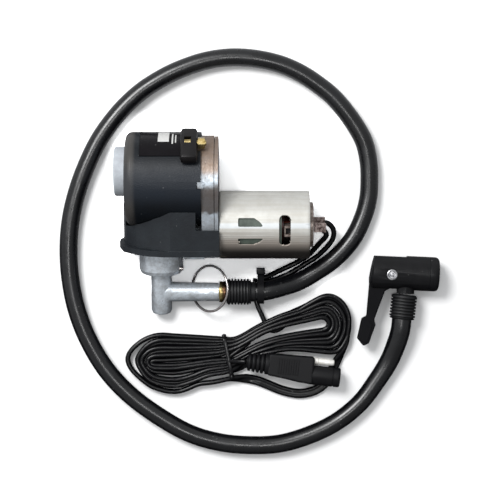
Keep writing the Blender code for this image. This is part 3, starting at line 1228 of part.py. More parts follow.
def make_split_ring():
    """Steel ring round the outlet tube, resting on the table at its left side."""
    table = RING_WIRE + 0.1 * MM
    outlet_y = PUMP_ORIGIN.y - outlet_depth() * cos(TILT)
    outlet_z = PUMP_ORIGIN.z - outlet_depth() * sin(TILT)
    tilt = asin((outlet_z + NUT_RADIUS + RING_WIRE + RING_SEAT - table) / (2 * RING_RADIUS))
    left_x = PUMP_ORIGIN.x + nut_start() + RING_LAP - 2 * RING_RADIUS * cos(tilt)
    left = frame_empty("split_ring_axis", (left_x, outlet_y + RING_SHIFT, table))
    mesh = bpy.data.meshes.new("split_ring")
    shape = bmesh.new()
    ring_count, wire_count = 32, 6
    rings = [
        [
            shape.verts.new((
                RING_RADIUS + (RING_RADIUS + RING_WIRE * cos(b)) * cos(a),
                (RING_RADIUS + RING_WIRE * cos(b)) * sin(a), RING_WIRE * sin(b),
            ))
            for b in (2 * pi * j / wire_count for j in range(wire_count))
        ]
        for a in (2 * pi * i / ring_count for i in range(ring_count))
    ]
    for i in range(ring_count):
        for j in range(wire_count):
            near, far = rings[i], rings[(i + 1) % ring_count]
            shape.faces.new((near[j], far[j], far[(j + 1) % wire_count], near[(j + 1) % wire_count]))
    bmesh.ops.recalc_face_normals(shape, faces=shape.faces)
    shape.to_mesh(mesh)
    shape.free()
    place("split_ring", mesh, STEEL, left, (0, 0, 0), (0, -tilt, 0))


def make_hose():
    cord("air_hose", HOSE_ROUTE, HOSE_RADIUS, RUBBER, 14.5 * MM, sides=2)


def make_wiring():
    cord("motor_wire_1", WIRE_A_ROUTE, WIRE_RADIUS, WIRE_BLACK, 4 * MM, sides=2)
    cord("motor_wire_2", WIRE_B_ROUTE, WIRE_RADIUS, WIRE_BLACK, 4 * MM, sides=2)
    cord("power_lead", LEAD_ROUTE, LEAD_RADIUS, WIRE_BLACK, 3.6 * MM, sides=2)
    cord("lead_loop", LOOP_ROUTE, LEAD_RADIUS, WIRE_BLACK, 5 * MM, sides=2)
    outline = [(x * MM, y * MM) for x, y in HANK_OUTLINE]
    hank = plate("lead_hank", [outline], HANK_BASE, HANK_BASE + HANK_HEIGHT, WIRE_BLACK, rotation=(0, 0, 0))
    join(hank, curve_to_mesh(cord("lead_tail", TAIL_ROUTE, LEAD_RADIUS, None, 3 * MM, sides=2)))
    top = HANK_BASE + HANK_HEIGHT + GAP
    half_waist = HANK_HALF_WAIST
    outside = half_waist + 1.2 * MM
    shoulder = half_waist - 2 * MM
    hoop = [
        (-outside, HANK_BASE), (-outside, top + 0.6 * MM), (-shoulder, top + 1.2 * MM), (shoulder, top + 1.2 * MM),
        (outside, top + 0.6 * MM), (outside, HANK_BASE), (half_waist, HANK_BASE), (half_waist, top),
        (-half_waist, top), (-half_waist, HANK_BASE),
    ]
    plate(
        "hank_tie", [hoop], -0.9 * MM, 0.9 * MM, WIRE_BLACK, None, HANK_TIE_AT, (pi / 2, 0, radians(-79)),
    )


def make_cable_tie():
    """Strap round the hose and the two motor wires, with its square head."""
    hose = (HOSE_RADIUS, (-8.65 * MM, -37.48 * MM))
    wires = [(WIRE_RADIUS, (-6.3 * MM, -29.98 * MM)), (WIRE_RADIUS, (-4.0 * MM, -32.08 * MM))]
    inner = wrapped([(radius + 1.5 * GAP, centre) for radius, centre in (hose, *wires)], 24)
    outer = wrapped([(radius + 1.5 * GAP + TIE_THICKNESS, centre) for radius, centre in (hose, *wires)], 24)
    strap = plate("cable_tie", [outer, inner], TIE_X - TIE_WIDTH / 2, TIE_X + TIE_WIDTH / 2, BLACK_PLASTIC)
    head = block(
        "cable_tie_head", (TIE_X - TIE_WIDTH / 2 - 0.6 * MM, -27.8 * MM, 5.2 * MM),
        (TIE_X + TIE_WIDTH / 2 + 0.6 * MM, -24.1 * MM, 10.4 * MM), None, round_by=0.5 * MM,
    )
    join(strap, head)


def make_plug():
    """Two-pin plug: overmoulded body with ribbed strain relief, bare pin and shrouded socket."""
    frame = frame_empty("plug_frame", PLUG_AT, (0, 0, PLUG_TURN))
    half = PLUG_THICKNESS / 2
    outline = [
        (0, 5.4 * MM), (24.6 * MM, 6.6 * MM), (25.6 * MM, 5.6 * MM), (25.6 * MM, -8.6 * MM), (11 * MM, -7.2 * MM),
        (0, -5.4 * MM),
    ]
    body = plate("plug_body", [outline], -half, half, BLACK_PLASTIC, frame, rotation=(0, 0, 0))
    relief = [(0, 1 * MM)]
    pitch = 2.4 * MM
    for rib in range(5):
        high = -pitch * rib
        outer = (4.9 - 0.3 * rib) * MM
        relief += [(outer, high + (MM if rib == 0 else 0)), (outer, high - 0.6 * pitch)]
        relief += [(outer - 1.2 * MM, high - 0.8 * pitch)]
    relief += [(0, -4.95 * pitch)]
    shroud_low = 20 * MM
    shroud_high = 25.6 * MM + SHROUD_LENGTH
    shroud = turned(
        "plug_shroud",
        [
            (0, shroud_high), (SHROUD_RADIUS - 1 * MM, shroud_high), (SHROUD_RADIUS, shroud_high - MM),
            (SHROUD_RADIUS, shroud_low), (0, shroud_low),
        ],
        None, frame, (0, SHROUD_SIDE, 0), steps=20,
    )
    join(body, turned("plug_relief", relief, None, frame, steps=16), shroud)
    socket = rod(
        "plug_socket_hole", SOCKET_RADIUS + GAP, shroud_high - SHROUD_LENGTH, shroud_high + MM, None, frame,
        (0, SHROUD_SIDE, 0), steps=16,
    )
    pin_low = 25.6 * MM - 6 * MM
    pin_hole = rod(
        "plug_pin_hole", PLUG_PIN_RADIUS + GAP, pin_low, 27 * MM, None, frame, (0, PLUG_PIN_SIDE, 0), steps=16
    )
    cut(body, socket, pin_hole)
    pin_end = 25.6 * MM + PLUG_PIN_LENGTH
    rod("plug_pin", PLUG_PIN_RADIUS, pin_low + GAP, pin_end, STEEL, frame, (0, PLUG_PIN_SIDE, 0), steps=16)
    tube(
        "plug_contact", SOCKET_RADIUS, SOCKET_RADIUS - 0.5 * MM, shroud_high - SHROUD_LENGTH + GAP,
        shroud_high - 2 * MM, BRASS, frame, (0, SHROUD_SIDE, 0), steps=16,
    )


clear_scene()
BLACK_PLASTIC = material("black_plastic", (0.018, 0.019, 0.022), 0.45)
GLOSS_BLACK = material("gloss_black", (0.01, 0.01, 0.011), 0.2)
RUBBER = material("black_rubber", (0.012, 0.013, 0.015), 0.4)
WIRE_BLACK = material("wire_black", (0.01, 0.01, 0.011), 0.35)
ZINC = material("cast_zinc", (0.55, 0.56, 0.57), 0.45, 0.9)
GALVANISED = material("zinc_plated_steel", (0.62, 0.64, 0.63), 0.32, 1.0)
STEEL = material("bright_steel", (0.6, 0.6, 0.62), 0.25, 1.0)
BRASS = material("brass", (0.72, 0.55, 0.22), 0.3, 1.0)
BRONZE = material("bronze", (0.5, 0.36, 0.2), 0.4, 1.0)
COPPER = material("copper", (0.72, 0.36, 0.2), 0.35, 1.0)
FERRITE = material("ferrite", (0.08, 0.08, 0.085), 0.6)
CARBON = material("carbon", (0.03, 0.03, 0.03), 0.6)

pump_frame = frame_empty("pump_frame", PUMP_ORIGIN, (TILT, 0, 0))
make_crank_cover(pump_frame)
make_cover_fittings(pump_frame)
make_gear_case(pump_frame)
make_motor_plate(pump_frame)
make_motor(pump_frame)
make_armature(pump_frame)
make_crank(pump_frame)
make_piston(pump_frame)
make_connecting_rod(pump_frame)
make_cylinder(pump_frame)
make_head(pump_frame)
turned(
    "hose_nut_pump", nut_profile(NUT_COLLAR), BLACK_PLASTIC, pump_frame, (nut_start(), -outlet_depth(), 0), steps=20,
    ring=True,
)
make_cowl(pump_frame)
make_chuck()
make_split_ring()
make_hose()
make_wiring()
make_cable_tie()
make_plug()
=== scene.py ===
import json
from math import acos, ceil, pi, radians

import bmesh
import bpy
import numpy as np
from mathutils import Matrix, Vector


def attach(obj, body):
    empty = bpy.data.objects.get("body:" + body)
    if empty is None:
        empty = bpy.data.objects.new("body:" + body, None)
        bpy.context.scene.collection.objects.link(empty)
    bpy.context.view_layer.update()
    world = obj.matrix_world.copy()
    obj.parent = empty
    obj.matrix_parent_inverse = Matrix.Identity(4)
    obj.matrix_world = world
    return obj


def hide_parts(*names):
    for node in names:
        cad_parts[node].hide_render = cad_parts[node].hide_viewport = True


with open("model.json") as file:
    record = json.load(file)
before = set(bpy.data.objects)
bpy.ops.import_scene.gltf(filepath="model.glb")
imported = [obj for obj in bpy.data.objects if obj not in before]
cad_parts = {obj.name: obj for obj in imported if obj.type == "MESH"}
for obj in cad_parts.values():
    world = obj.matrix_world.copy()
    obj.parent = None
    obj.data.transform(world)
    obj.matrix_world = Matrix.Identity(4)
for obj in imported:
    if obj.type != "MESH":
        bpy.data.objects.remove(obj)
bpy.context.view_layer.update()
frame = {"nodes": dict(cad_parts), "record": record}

# The pump, the chuck and the plug are drawn in their own frames, in millimetres
mm = 0.001


# A frame shifted, and then turned by degrees about one axis
def placed(place, turn=0, axis="Z"):
    return Matrix.Translation(place) @ Matrix.Rotation(radians(turn), 4, axis)


tilt = 15.39
pumpOrigin = Vector((-0.95, 24.77, 25.6))
pumpFrame = placed(pumpOrigin, tilt, "X")
chuckFrame = placed((102.65, -27.08, 9.6), -2.6)
plugFrame = placed((26.25, -77.63, 9), -6)

bodies = frame["record"]["behaviour"]["bodies"]
bodyOf = {node: body for body, members in bodies.items() for node in members}
slotOf = {part["node"]: part["material_slot"] for part in frame["record"]["subparts"]}


def newObject(name, data):
    made = bpy.data.objects.new(name, data)
    bpy.context.scene.collection.objects.link(made)
    return made


def newMaterial(name):
    made = bpy.data.materials.new(name)
    made.use_nodes = True
    return made, made.node_tree, made.node_tree.nodes["Principled BSDF"].inputs


# Camera straight above the table, one metre up
cameraLook = dict(lens=128.3, sensor=36, place=(0.0162, -0.01428, 1))
camera = newObject("camera", bpy.data.cameras.new("camera"))
camera.data.lens = cameraLook["lens"]
camera.data.sensor_width = cameraLook["sensor"]
camera.location = cameraLook["place"]
bpy.context.scene.camera = camera
bpy.context.scene.view_settings.view_transform = "Standard"


# A new shader node's outputs, its inputs joined to sockets or set to values
def shaderNode(tree, kind, inputs, **settings):
    made = tree.nodes.new("ShaderNode" + kind)
    for key, value in settings.items():
        setattr(made, key, value)
    for key, value in inputs.items():
        if hasattr(value, "is_output"):
            tree.links.new(value, made.inputs[key])
        else:
            made.inputs[key].default_value = value
    return made.outputs


def mathNode(tree, operation, *values):
    return shaderNode(tree, "Math", dict(enumerate(values)), operation=operation)[0]


def product(tree, first, *others):
    for value in others:
        first = mathNode(tree, "MULTIPLY", first, value)
    return first


def total(tree, first, *others):
    for value in others:
        first = mathNode(tree, "ADD", first, value)
    return first


# A smooth step from 0 at low to 1 at high
def rampNode(tree, value, low, high):
    fed = {"Value": value, "From Min": low, "From Max": high}
    return shaderNode(tree, "MapRange", fed, interpolation_type="SMOOTHSTEP")["Result"]


# 1 between two smooth steps, each given by where it is 0 and where it is 1
def bandNode(tree, value, rise, fall):
    return product(tree, rampNode(tree, value, *rise), rampNode(tree, value, *fall))


def noiseNode(tree, vector, scale, detail, roughness=0.55):
    fed = dict(Vector=vector, Scale=scale, Detail=detail, Roughness=roughness)
    return shaderNode(tree, "TexNoise", fed)["Fac"]


def splitNode(tree, vector):
    return shaderNode(tree, "SeparateXYZ", {0: vector})


# A node group with a Vector input, the named inputs and one float output
def newGroup(name, output, **values):
    group = bpy.data.node_groups.new(name, "ShaderNodeTree")
    for label, value in dict(Vector=(0, 0, 0), **values).items():
        kind = "NodeSocketVector" if isinstance(value, tuple) else "NodeSocketFloat"
        socket = group.interface.new_socket(label, in_out="INPUT", socket_type=kind)
        socket.default_value = value
    group.interface.new_socket(output, in_out="OUTPUT", socket_type="NodeSocketFloat")
    inputs = group.nodes.new("NodeGroupInput").outputs
    return group, inputs, group.nodes.new("NodeGroupOutput").inputs[output]


def cellNode(group, inputs, feature):
    fed = dict(Vector=inputs["Vector"], Scale=inputs["Scale"])
    return shaderNode(group, "TexVoronoi", fed, feature=feature)


# Broad soft patches: two noises of different size, averaged and widened
def blotchGroup():
    group, inputs, output = newGroup("blotches", "Mask", Scale=90)
    wide = noiseNode(group, inputs["Vector"], inputs["Scale"], 4)
    fine = noiseNode(group, inputs["Vector"], product(group, inputs["Scale"], 3.7), 5, 0.65)
    both = total(group, product(group, wide, 0.65), product(group, fine, 0.35))
    group.links.new(rampNode(group, both, 0.36, 0.64), output)
    return group


# Fine grain of a cast or moulded skin: cells and noise of one size, as a height
def grainGroup():
    group, inputs, output = newGroup("grain", "Height", Scale=1500)
    cells = cellNode(group, inputs, "SMOOTH_F1")
    noise = noiseNode(group, inputs["Vector"], inputs["Scale"], 3, 0.6)
    group.links.new(total(group, product(group, cells["Distance"], 0.5), noise), output)
    return group


# Sparse dust: cells whose centre is near and whose random number is low
def fleckGroup():
    group, inputs, output = newGroup("flecks", "Mask", Scale=700, Share=0.1)
    cells = cellNode(group, inputs, "F1")
    split = shaderNode(group, "SeparateColor", {"Color": cells["Color"]})
    chosen = mathNode(group, "LESS_THAN", split["Red"], inputs["Share"])
    size = product(group, split["Green"], 0.35)
    near = mathNode(group, "LESS_THAN", cells["Distance"], size)
    group.links.new(product(group, chosen, near), output)
    return group


# Lines drawn out along one axis, by squeezing the noise across it
def streakGroup():
    group, inputs, output = newGroup("streaks", "Mask", Squeeze=(1, 40, 40))
    fed = {0: inputs["Vector"], 1: inputs["Squeeze"]}
    stretched = shaderNode(group, "VectorMath", fed, operation="MULTIPLY")[0]
    noise = noiseNode(group, stretched, 60, 4, 0.6)
    group.links.new(rampNode(group, noise, 0.3, 0.7), output)
    return group


effects = dict(
    blotches=blotchGroup(), grain=grainGroup(), flecks=fleckGroup(), streaks=streakGroup()
)


def effect(tree, name, vector, **values):
    return shaderNode(tree, "Group", dict(Vector=vector, **values), node_tree=effects[name])[0]


# A tone read as 0 to 255 display values, as linear light
def linear(tone):
    shown = np.array(tone, float) / 255
    return tuple(np.where(shown <= 0.04045, shown / 12.92, ((shown + 0.055) / 1.055) ** 2.4))


def mixTone(tree, mask, *colors):
    a, b = ((*linear(color), 1) if isinstance(color, tuple) else color for color in colors)
    return shaderNode(tree, "Mix", {"Factor": mask, 6: a, 7: b}, data_type="RGBA")[2]


plainLook = dict(
    blotchScale=90, roughness=0.5, roughnessSpread=0.1, metallic=0, specular=0.5,
    squeeze=(1, 40, 40), dust=0.03, dustScale=900, dustStrength=0.15, dustTone=(190, 190, 188),
    grainScale=1500, bump=0.3, bumpDepth=0.00012,
)


# A Principled material with blotches, grain, streaks and dust over one base tone. The function
# ownMasks(tree, position, color), if there is one, puts masks of its own on the color: print and
# two-tone colour, and also painted shade and painted highlights
def detailed(name, look, ownMasks=None):
    look = {**plainLook, **look}
    made, tree, shader = newMaterial(name)
    where = shaderNode(tree, "TexCoord", {})["Object"]
    blotch = effect(tree, "blotches", where, Scale=look["blotchScale"])
    color = mixTone(tree, blotch, look["tone"], look["patch"])
    if "streakTone" in look:
        streak = effect(tree, "streaks", where, Squeeze=look["squeeze"])
        share = product(tree, streak, look["streakShare"])
        color = mixTone(tree, share, color, look["streakTone"])
    if ownMasks:
        color = ownMasks(tree, where, color)
    dust = effect(tree, "flecks", where, Scale=look["dustScale"], Share=look["dust"])
    color = mixTone(tree, product(tree, dust, look["dustStrength"]), color, look["dustTone"])
    tree.links.new(color, shader["Base Color"])
    spread = look["roughnessSpread"]
    worn = total(tree, product(tree, blotch, spread), look["roughness"] - spread / 2)
    tree.links.new(worn, shader["Roughness"])
    shader["Metallic"].default_value = look["metallic"]
    shader["Specular IOR Level"].default_value = look["specular"]
    grain = effect(tree, "grain", where, Scale=look["grainScale"])
    fed = dict(Height=grain, Strength=look["bump"], Distance=look["bumpDepth"])
    tree.links.new(shaderNode(tree, "Bump", fed)["Normal"], shader["Normal"])
    return made


# The position turned back into the pump's frame, as separate X, Y and Z sockets in metres
def pumpPosition(tree, where):
    fed = {0: where, 1: pumpOrigin * mm}
    shifted = shaderNode(tree, "VectorMath", fed, operation="SUBTRACT")[0]
    fed = dict(Vector=shifted, Angle=radians(-tilt))
    return splitNode(tree, shaderNode(tree, "VectorRotate", fed, rotation_type="X_AXIS")[0])


# Mixes a tone into the color where the value has passed its rise and not yet reached its fall. It
# serves for own colours and for painted shade and highlights
def tonedBand(tree, color, value, rise, share, tone, fall=None):
    mask = bandNode(tree, value, rise, fall) if fall else rampNode(tree, value, *rise)
    return mixTone(tree, product(tree, mask, share), color, tone)


# Painted highlight: a warmer, lighter band on the rounded left end; painted sheen: a bluish band
# along the crest; and the clamp lug's own darker tone
coverHighlightsAndLug = dict(
    shoulder=dict(rise=(-0.044, -0.0465), share=0.75, tone=(66, 64, 62)),
    crest=dict(rise=(-0.012, -0.002), fall=(0.016, 0.006), share=0.4, tone=(40, 46, 55)),
    lug=dict(radius=(0.0257, 0.0262), left=(-0.0215, -0.0205), tone=(14, 12, 13)),
)


def coverMasks(tree, where, color):
    x, y, z = pumpPosition(tree, where)
    # Painted highlight on the rounded left end, and painted bluish sheen along the crest
    color = tonedBand(tree, color, x, **coverHighlightsAndLug["shoulder"])
    color = tonedBand(tree, color, y, **coverHighlightsAndLug["crest"])
    radius = mathNode(tree, "SQRT", total(tree, product(tree, y, y), product(tree, z, z)))
    lug = coverHighlightsAndLug["lug"]
    mask = product(tree, rampNode(tree, radius, *lug["radius"]), rampNode(tree, x, *lug["left"]))
    return mixTone(tree, mask, color, lug["tone"])


# A plain pale block and two thin bars, each between two lengths in metres and two angles in degrees
labelBars = dict(
    spans=((-0.0325, -0.0265, 64, 92), (-0.025, -0.0242, 60, 84), (-0.0232, -0.0226, 62, 80)),
    share=0.85, tone=(206, 206, 204),
)


def between(tree, value, low, high):
    above = mathNode(tree, "GREATER_THAN", value, low)
    return product(tree, above, mathNode(tree, "LESS_THAN", value, high))


def labelMasks(tree, where, color):
    x, y, z = pumpPosition(tree, where)
    angle = mathNode(tree, "ARCTAN2", y, z)
    for left, right, low, high in labelBars["spans"]:
        along = between(tree, x, left, right)
        across = between(tree, angle, radians(low), radians(high))
        bar = product(tree, along, across, labelBars["share"])
        color = mixTone(tree, bar, color, labelBars["tone"])
    return color


# Dull brass at the tube's side and a dark red-brown half at the hose's side
ferruleStain = dict(rise=(0.0019, 0.0022), share=0.85, tone=(74, 38, 36))


def ferruleMasks(tree, where, color):
    return tonedBand(tree, color, pumpPosition(tree, where)[0], **ferruleStain)


# Browner over the upper third of the gear case, above its bright crest; a darker brown band over
# the lower third, painted shade; and dark specks
caseTintsAndShade = dict(
    upper=dict(rise=(0.0075, 0.0125), share=0.85, tone=(118, 94, 72)),
    lower=dict(rise=(0.0055, 0.0005), fall=(-0.0145, -0.0125), share=0.85, tone=(84, 72, 64)),
    drift=dict(scale=60, reach=0.003),
    specks=dict(scale=520, share=0.16, strength=0.5, tone=(52, 44, 40)),
)


def caseMasks(tree, where, color):
    y = pumpPosition(tree, where)[1]
    drift, specks = caseTintsAndShade["drift"], caseTintsAndShade["specks"]
    spread = effect(tree, "blotches", where, Scale=drift["scale"])
    y = total(tree, y, product(tree, spread, drift["reach"]))
    color = tonedBand(tree, color, y, **caseTintsAndShade["upper"])
    # Painted shade: the darker brown band over the lower third, below the crest
    color = tonedBand(tree, color, y, **caseTintsAndShade["lower"])
    mask = effect(tree, "flecks", where, Scale=specks["scale"], Share=specks["share"])
    return mixTone(tree, product(tree, mask, specks["strength"]), color, specks["tone"])


# Dull zinc skin; painted shade, browner and then black, low on the near side of the can; and one
# pale line along the can, a painted highlight
motorShadeAndHighlight = dict(
    low=dict(rise=(-0.0215, -0.0325), share=0.75, tone=(128, 116, 106)),
    under=dict(rise=(-0.0315, -0.0385), share=0.93, tone=(30, 27, 26)),
    line=dict(rise=(-0.024, -0.0228), fall=(-0.02, -0.0212), share=0.35, tone=(226, 236, 246)),
    drift=dict(squeeze=(0.5, 12, 12), reach=0.003),
)


def motorMasks(tree, where, color):
    y = pumpPosition(tree, where)[1]
    drift = motorShadeAndHighlight["drift"]
    streak = effect(tree, "streaks", where, Squeeze=drift["squeeze"])
    drifted = total(tree, y, product(tree, streak, drift["reach"]))
    # Painted shade: browner, then black, low on the near side of the can
    color = tonedBand(tree, color, drifted, **motorShadeAndHighlight["low"])
    color = tonedBand(tree, color, y, **motorShadeAndHighlight["under"])
    # Painted highlight: a pale bluish line along the can
    return tonedBand(tree, color, y, **motorShadeAndHighlight["line"])


looks = dict(
    cover_plastic=dict(
        tone=(12, 17, 23), patch=(9, 13, 18), roughness=0.42, specular=0.24, bump=0.5,
        bumpDepth=0.00016, dust=0.02, dustStrength=0.1,
    ),
    label_film=dict(
        tone=(12, 10, 13), patch=(15, 13, 16), roughness=0.3, specular=0.1, bump=0.05, dust=0.05,
        dustStrength=0.12,
    ),
    cast_zinc=dict(
        tone=(206, 216, 226), patch=(164, 168, 172), blotchScale=150, metallic=0.82,
        roughness=0.36, roughnessSpread=0.22, bump=0.5, bumpDepth=0.0002, grainScale=1100,
    ),
    zinc_plated_steel=dict(
        tone=(192, 192, 188), patch=(182, 181, 176), metallic=0.4, specular=0.3, bump=0.1,
        streakTone=(170, 164, 152), streakShare=0.3, squeeze=(0.6, 14, 14),
    ),
    bright_steel=dict(
        tone=(200, 196, 194), patch=(150, 140, 138), blotchScale=300, metallic=1,
        roughness=0.26, bump=0.05,
    ),
    brass=dict(
        tone=(196, 178, 128), patch=(128, 110, 66), blotchScale=420, metallic=1,
        roughness=0.3, bump=0.1,
    ),
    bronze=dict(
        tone=(150, 106, 68), patch=(120, 84, 56), metallic=1, roughness=0.4, bump=0.1,
    ),
    copper=dict(
        tone=(176, 100, 84), patch=(120, 62, 50), metallic=1, roughness=0.34, bump=0.1,
    ),
    ferrite=dict(tone=(74, 84, 76), patch=(52, 60, 54), roughness=0.6),
    carbon=dict(tone=(24, 24, 26), patch=(16, 16, 18), roughness=0.6, bump=0.2),
    moulded_black=dict(
        tone=(13, 13, 15), patch=(17, 17, 19), roughness=0.46, specular=0.15, dust=0.02,
        dustStrength=0.12, grainScale=1900,
    ),
    hose_rubber=dict(
        tone=(7, 7, 9), patch=(10, 11, 14), roughness=0.27, bump=0.2, dust=0.015,
        dustStrength=0.12, grainScale=2200,
    ),
    wire_vinyl=dict(
        tone=(5, 5, 7), patch=(8, 8, 10), roughness=0.22, specular=0.22, bump=0.1, dust=0.015,
        dustStrength=0.12,
    ),
)
finishes = {name: detailed(name + "_look", look) for name, look in looks.items()}
finishOf = dict(slotOf)


# A finish for some nodes: a slot's look with some values changed
def variant(name, nodes, base, ownMasks=None, **changes):
    finishes[name] = detailed(name + "_look", {**looks[base], **changes}, ownMasks)
    for node in nodes.split():
        finishOf[node] = name


variant("cover", "crank_cover", "cover_plastic", coverMasks)
variant("label", "label_plate", "label_film", labelMasks)
variant("motor", "motor_can", "zinc_plated_steel", motorMasks)
variant("ferrule", "hose_barb", "brass", ferruleMasks)
variant("case", "motor_plate gear_case", "cast_zinc", caseMasks, roughness=0.46, metallic=0.7)
variant(
    "pin", "plug_pin", "bright_steel", tone=(236, 235, 230), patch=(216, 214, 208),
    blotchScale=500, bump=0.1, metallic=0.35, roughness=0.45,
)
variant(
    "rivet", "chuck_rivet", "bright_steel", tone=(178, 178, 180), patch=(120, 120, 124),
    blotchScale=500, bump=0.1, metallic=0.9, roughness=0.34,
)
variant(
    "boss", "end_boss", "cast_zinc", tone=(176, 182, 188), patch=(162, 166, 172), metallic=0.1,
    roughness=0.6, specular=0.3, blotchScale=120,
)
variant(
    "head", "head_casting", "cast_zinc", tone=(222, 230, 238), patch=(176, 180, 184),
    metallic=0.72, roughness=0.38, blotchScale=190,
)
variant("chuck", "chuck_body chuck_cap", "moulded_black", specular=0.2, roughness=0.36)
variant("lever", "chuck_lever", "moulded_black", specular=0.05, roughness=0.6)
variant(
    "winding", "armature_winding", "copper", tone=(96, 56, 50), patch=(34, 24, 26), metallic=0.5,
    blotchScale=420,
)
variant(
    "bell", "end_bell", "cast_zinc", tone=(168, 156, 148), patch=(92, 80, 74), metallic=0.5,
    blotchScale=260,
)
variant("cowl", "cylinder_cowl", "cover_plastic", tone=(34, 38, 42), patch=(27, 30, 34))
variant(
    "nut", "hose_nut_pump hose_nut_chuck", "moulded_black", tone=(18, 19, 21), specular=0.36
)
variant(
    "tinned", "terminal_1 terminal_2", "bright_steel", tone=(206, 188, 182), patch=(66, 50, 48),
    roughness=0.4, blotchScale=520,
)
print("materials", len(finishes))


# A part is its points and a list of face arrays, each with faces of one size. Here its faces are
# turned to look out
def outward(part):
    (points, groups), volume = part, 0.0
    for group in groups:
        corners = points[group]
        for i in range(1, group.shape[1] - 1):
            lean = np.cross(corners[:, i], corners[:, i + 1])
            volume += np.einsum("ij,ij->i", corners[:, 0], lean).sum()
    return (points, groups) if volume > 0 else (points, [group[:, ::-1] for group in groups])


def merged(*parts):
    points, faces, base = [], [], 0
    for part in parts:
        own, groups = outward(part)
        points.append(own)
        faces += [group + base for group in groups]
        base += len(own)
    return np.vstack(points), faces


def moved(part, matrix):
    world = np.array(matrix, float)
    return part[0] @ world[:3, :3].T + world[:3, 3], part[1]


shownNodes = set()


# Shading and material, the body that the piece rides on and the nodes it stands for
def finishPiece(data, node, stands=(), angle=35):
    data.polygons.foreach_set("use_smooth", np.ones(len(data.polygons), bool))
    if angle:
        data.set_sharp_from_angle(angle=radians(angle))
    data.materials.clear()
    data.materials.append(finishes[finishOf[node]])
    made = newObject(node + "_skin", data)
    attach(made, bodyOf[node])
    for stand in stands or (node,):
        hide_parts(stand)
        shownNodes.add(stand)
    return made


# A part given in millimetres in a frame of its own, as an object in the world
def meshPiece(node, part, matrix, stands=(), angle=35):
    points, faces = moved(part, matrix)
    points, faces = outward((points * mm, faces))
    data = bpy.data.meshes.new(node + "_skin")
    data.from_pydata(points.tolist(), [], [face for group in faces for face in group.tolist()])
    data.validate()
    return finishPiece(data, node, stands, angle)


def bevelled(piece, width, angle):
    edge = piece.modifiers.new("edges", "BEVEL")
    edge.width = width * mm
    edge.segments = 2
    edge.limit_method = "ANGLE"
    edge.angle_limit = radians(angle)
    return edge


# Quads of a rows by columns grid whose columns wrap round, and whose rows may as well
def gridFaces(rows, columns, wrapRows=False):
    index = np.arange(rows * columns).reshape(rows, columns)
    here, above = (index, np.roll(index, -1, 0)) if wrapRows else (index[:-1], index[1:])
    quads = [here, np.roll(here, -1, 1), np.roll(above, -1, 1), above]
    return np.stack(quads, -1).reshape(-1, 4)


# A (rows, columns, 3) grid as a part, closed onto its own start or else by a fan at each end
def capped(grid, wrapRows=False):
    rows, columns = grid.shape[:2]
    points, quads = grid.reshape(-1, 3), gridFaces(rows, columns, wrapRows)
    if wrapRows:
        return points, [quads]
    first = np.arange(columns)
    last, apex = first + (rows - 1) * columns, np.full(columns, len(points))
    fans = [(apex, np.roll(first, -1), first), (apex + 1, last, np.roll(last, -1))]
    points = np.vstack([points, grid[0].mean(0), grid[-1].mean(0)])
    return points, [quads, np.vstack([np.stack(fan, 1) for fan in fans])]


# A profile's points with each inner corner replaced by a quadratic arc. A corner's radius is the
# point's own third value, or else the radius given for all
def rounded(profile, corner, steps=5):
    points = [np.array(row[:2], float) for row in profile]
    t = np.linspace(0, 1, steps + 1)[:, None]
    out = [points[0]]
    for row, before, at, after in zip(profile[1:], points, points[1:], points[2:]):
        radius = row[2] if len(row) > 2 else corner
        u, v = before - at, after - at
        lengthU, lengthV = np.linalg.norm(u), np.linalg.norm(v)
        turn = acos(max(-1, min(1, float(u @ v / (lengthU * lengthV)))))
        straight = turn >= pi - 0.01
        reach = 0 if straight else min(radius / np.tan(turn / 2), 0.48 * lengthU, 0.48 * lengthV)
        if reach < 1e-4:
            out.append(at)
            continue
        a, b = at + u / lengthU * reach, at + v / lengthV * reach
        out += list((1 - t) ** 2 * a + 2 * t * (1 - t) * at + t**2 * b)
    return np.array(out + [points[-1]])


def roundedLoop(points, corner, steps=4):
    return rounded([points[-1], *points, points[0]], corner, steps)[1:-1]


# Even angles round a circle
def circle(sides):
    return np.linspace(0, 2 * pi, sides, endpoint=False)


# Vectors divided by their lengths
def unit(vectors):
    return vectors / np.linalg.norm(vectors, axis=-1, keepdims=True)


# A rounded profile of (along, radius) rows turned about the X axis, or about -Y: each row of
# points is a circle, which may be stretched and shifted
def turned(profile, sides, corner=0.2, steps=5, ring=False, axis="X", stretch=1, shift=0):
    along, radius = rounded(profile, corner, steps).T
    angle = circle(sides)
    a = np.repeat(along[:, None], sides, 1)
    y, z = radius[:, None] * np.cos(angle), radius[:, None] * np.sin(angle)
    grid = np.stack([a, y, z] if axis == "X" else [y, -a, z], -1)
    return capped(grid * np.array(stretch) + np.array(shift), ring)


# An outline carried from low to high. Near both faces it is drawn in along its normals by a
# quarter circle: inset = edge (1 - cos a) at a height of edge (1 - sin a) from the face
def roundedPrism(outline, low, high, edge, steps=4, lip=0.15):
    run = np.roll(outline, -1, 0) - np.roll(outline, 1, 0)
    side = np.sign(np.cross(outline, np.roll(outline, -1, 0)).sum())
    normal = unit(np.stack([run[:, 1], -run[:, 0]], 1)) * side
    a = np.linspace(pi / 2, 0, steps + 1)
    draw, height = edge * (1 - np.cos(a)), edge * (1 - np.sin(a))
    inset = np.concatenate([[edge + lip], draw, draw[::-1], [edge + lip]])
    level = np.concatenate([[low], low + height, high - height[::-1], [high]])
    flat = outline[None] - inset[:, None, None] * normal[None]
    grid = np.dstack([flat, np.broadcast_to(level[:, None], flat.shape[:2])])
    rows, columns = grid.shape[:2]
    ring = np.arange(columns)
    faces = [gridFaces(rows, columns), ring[None, ::-1], ring[None] + (rows - 1) * columns]
    return grid.reshape(-1, 3), faces


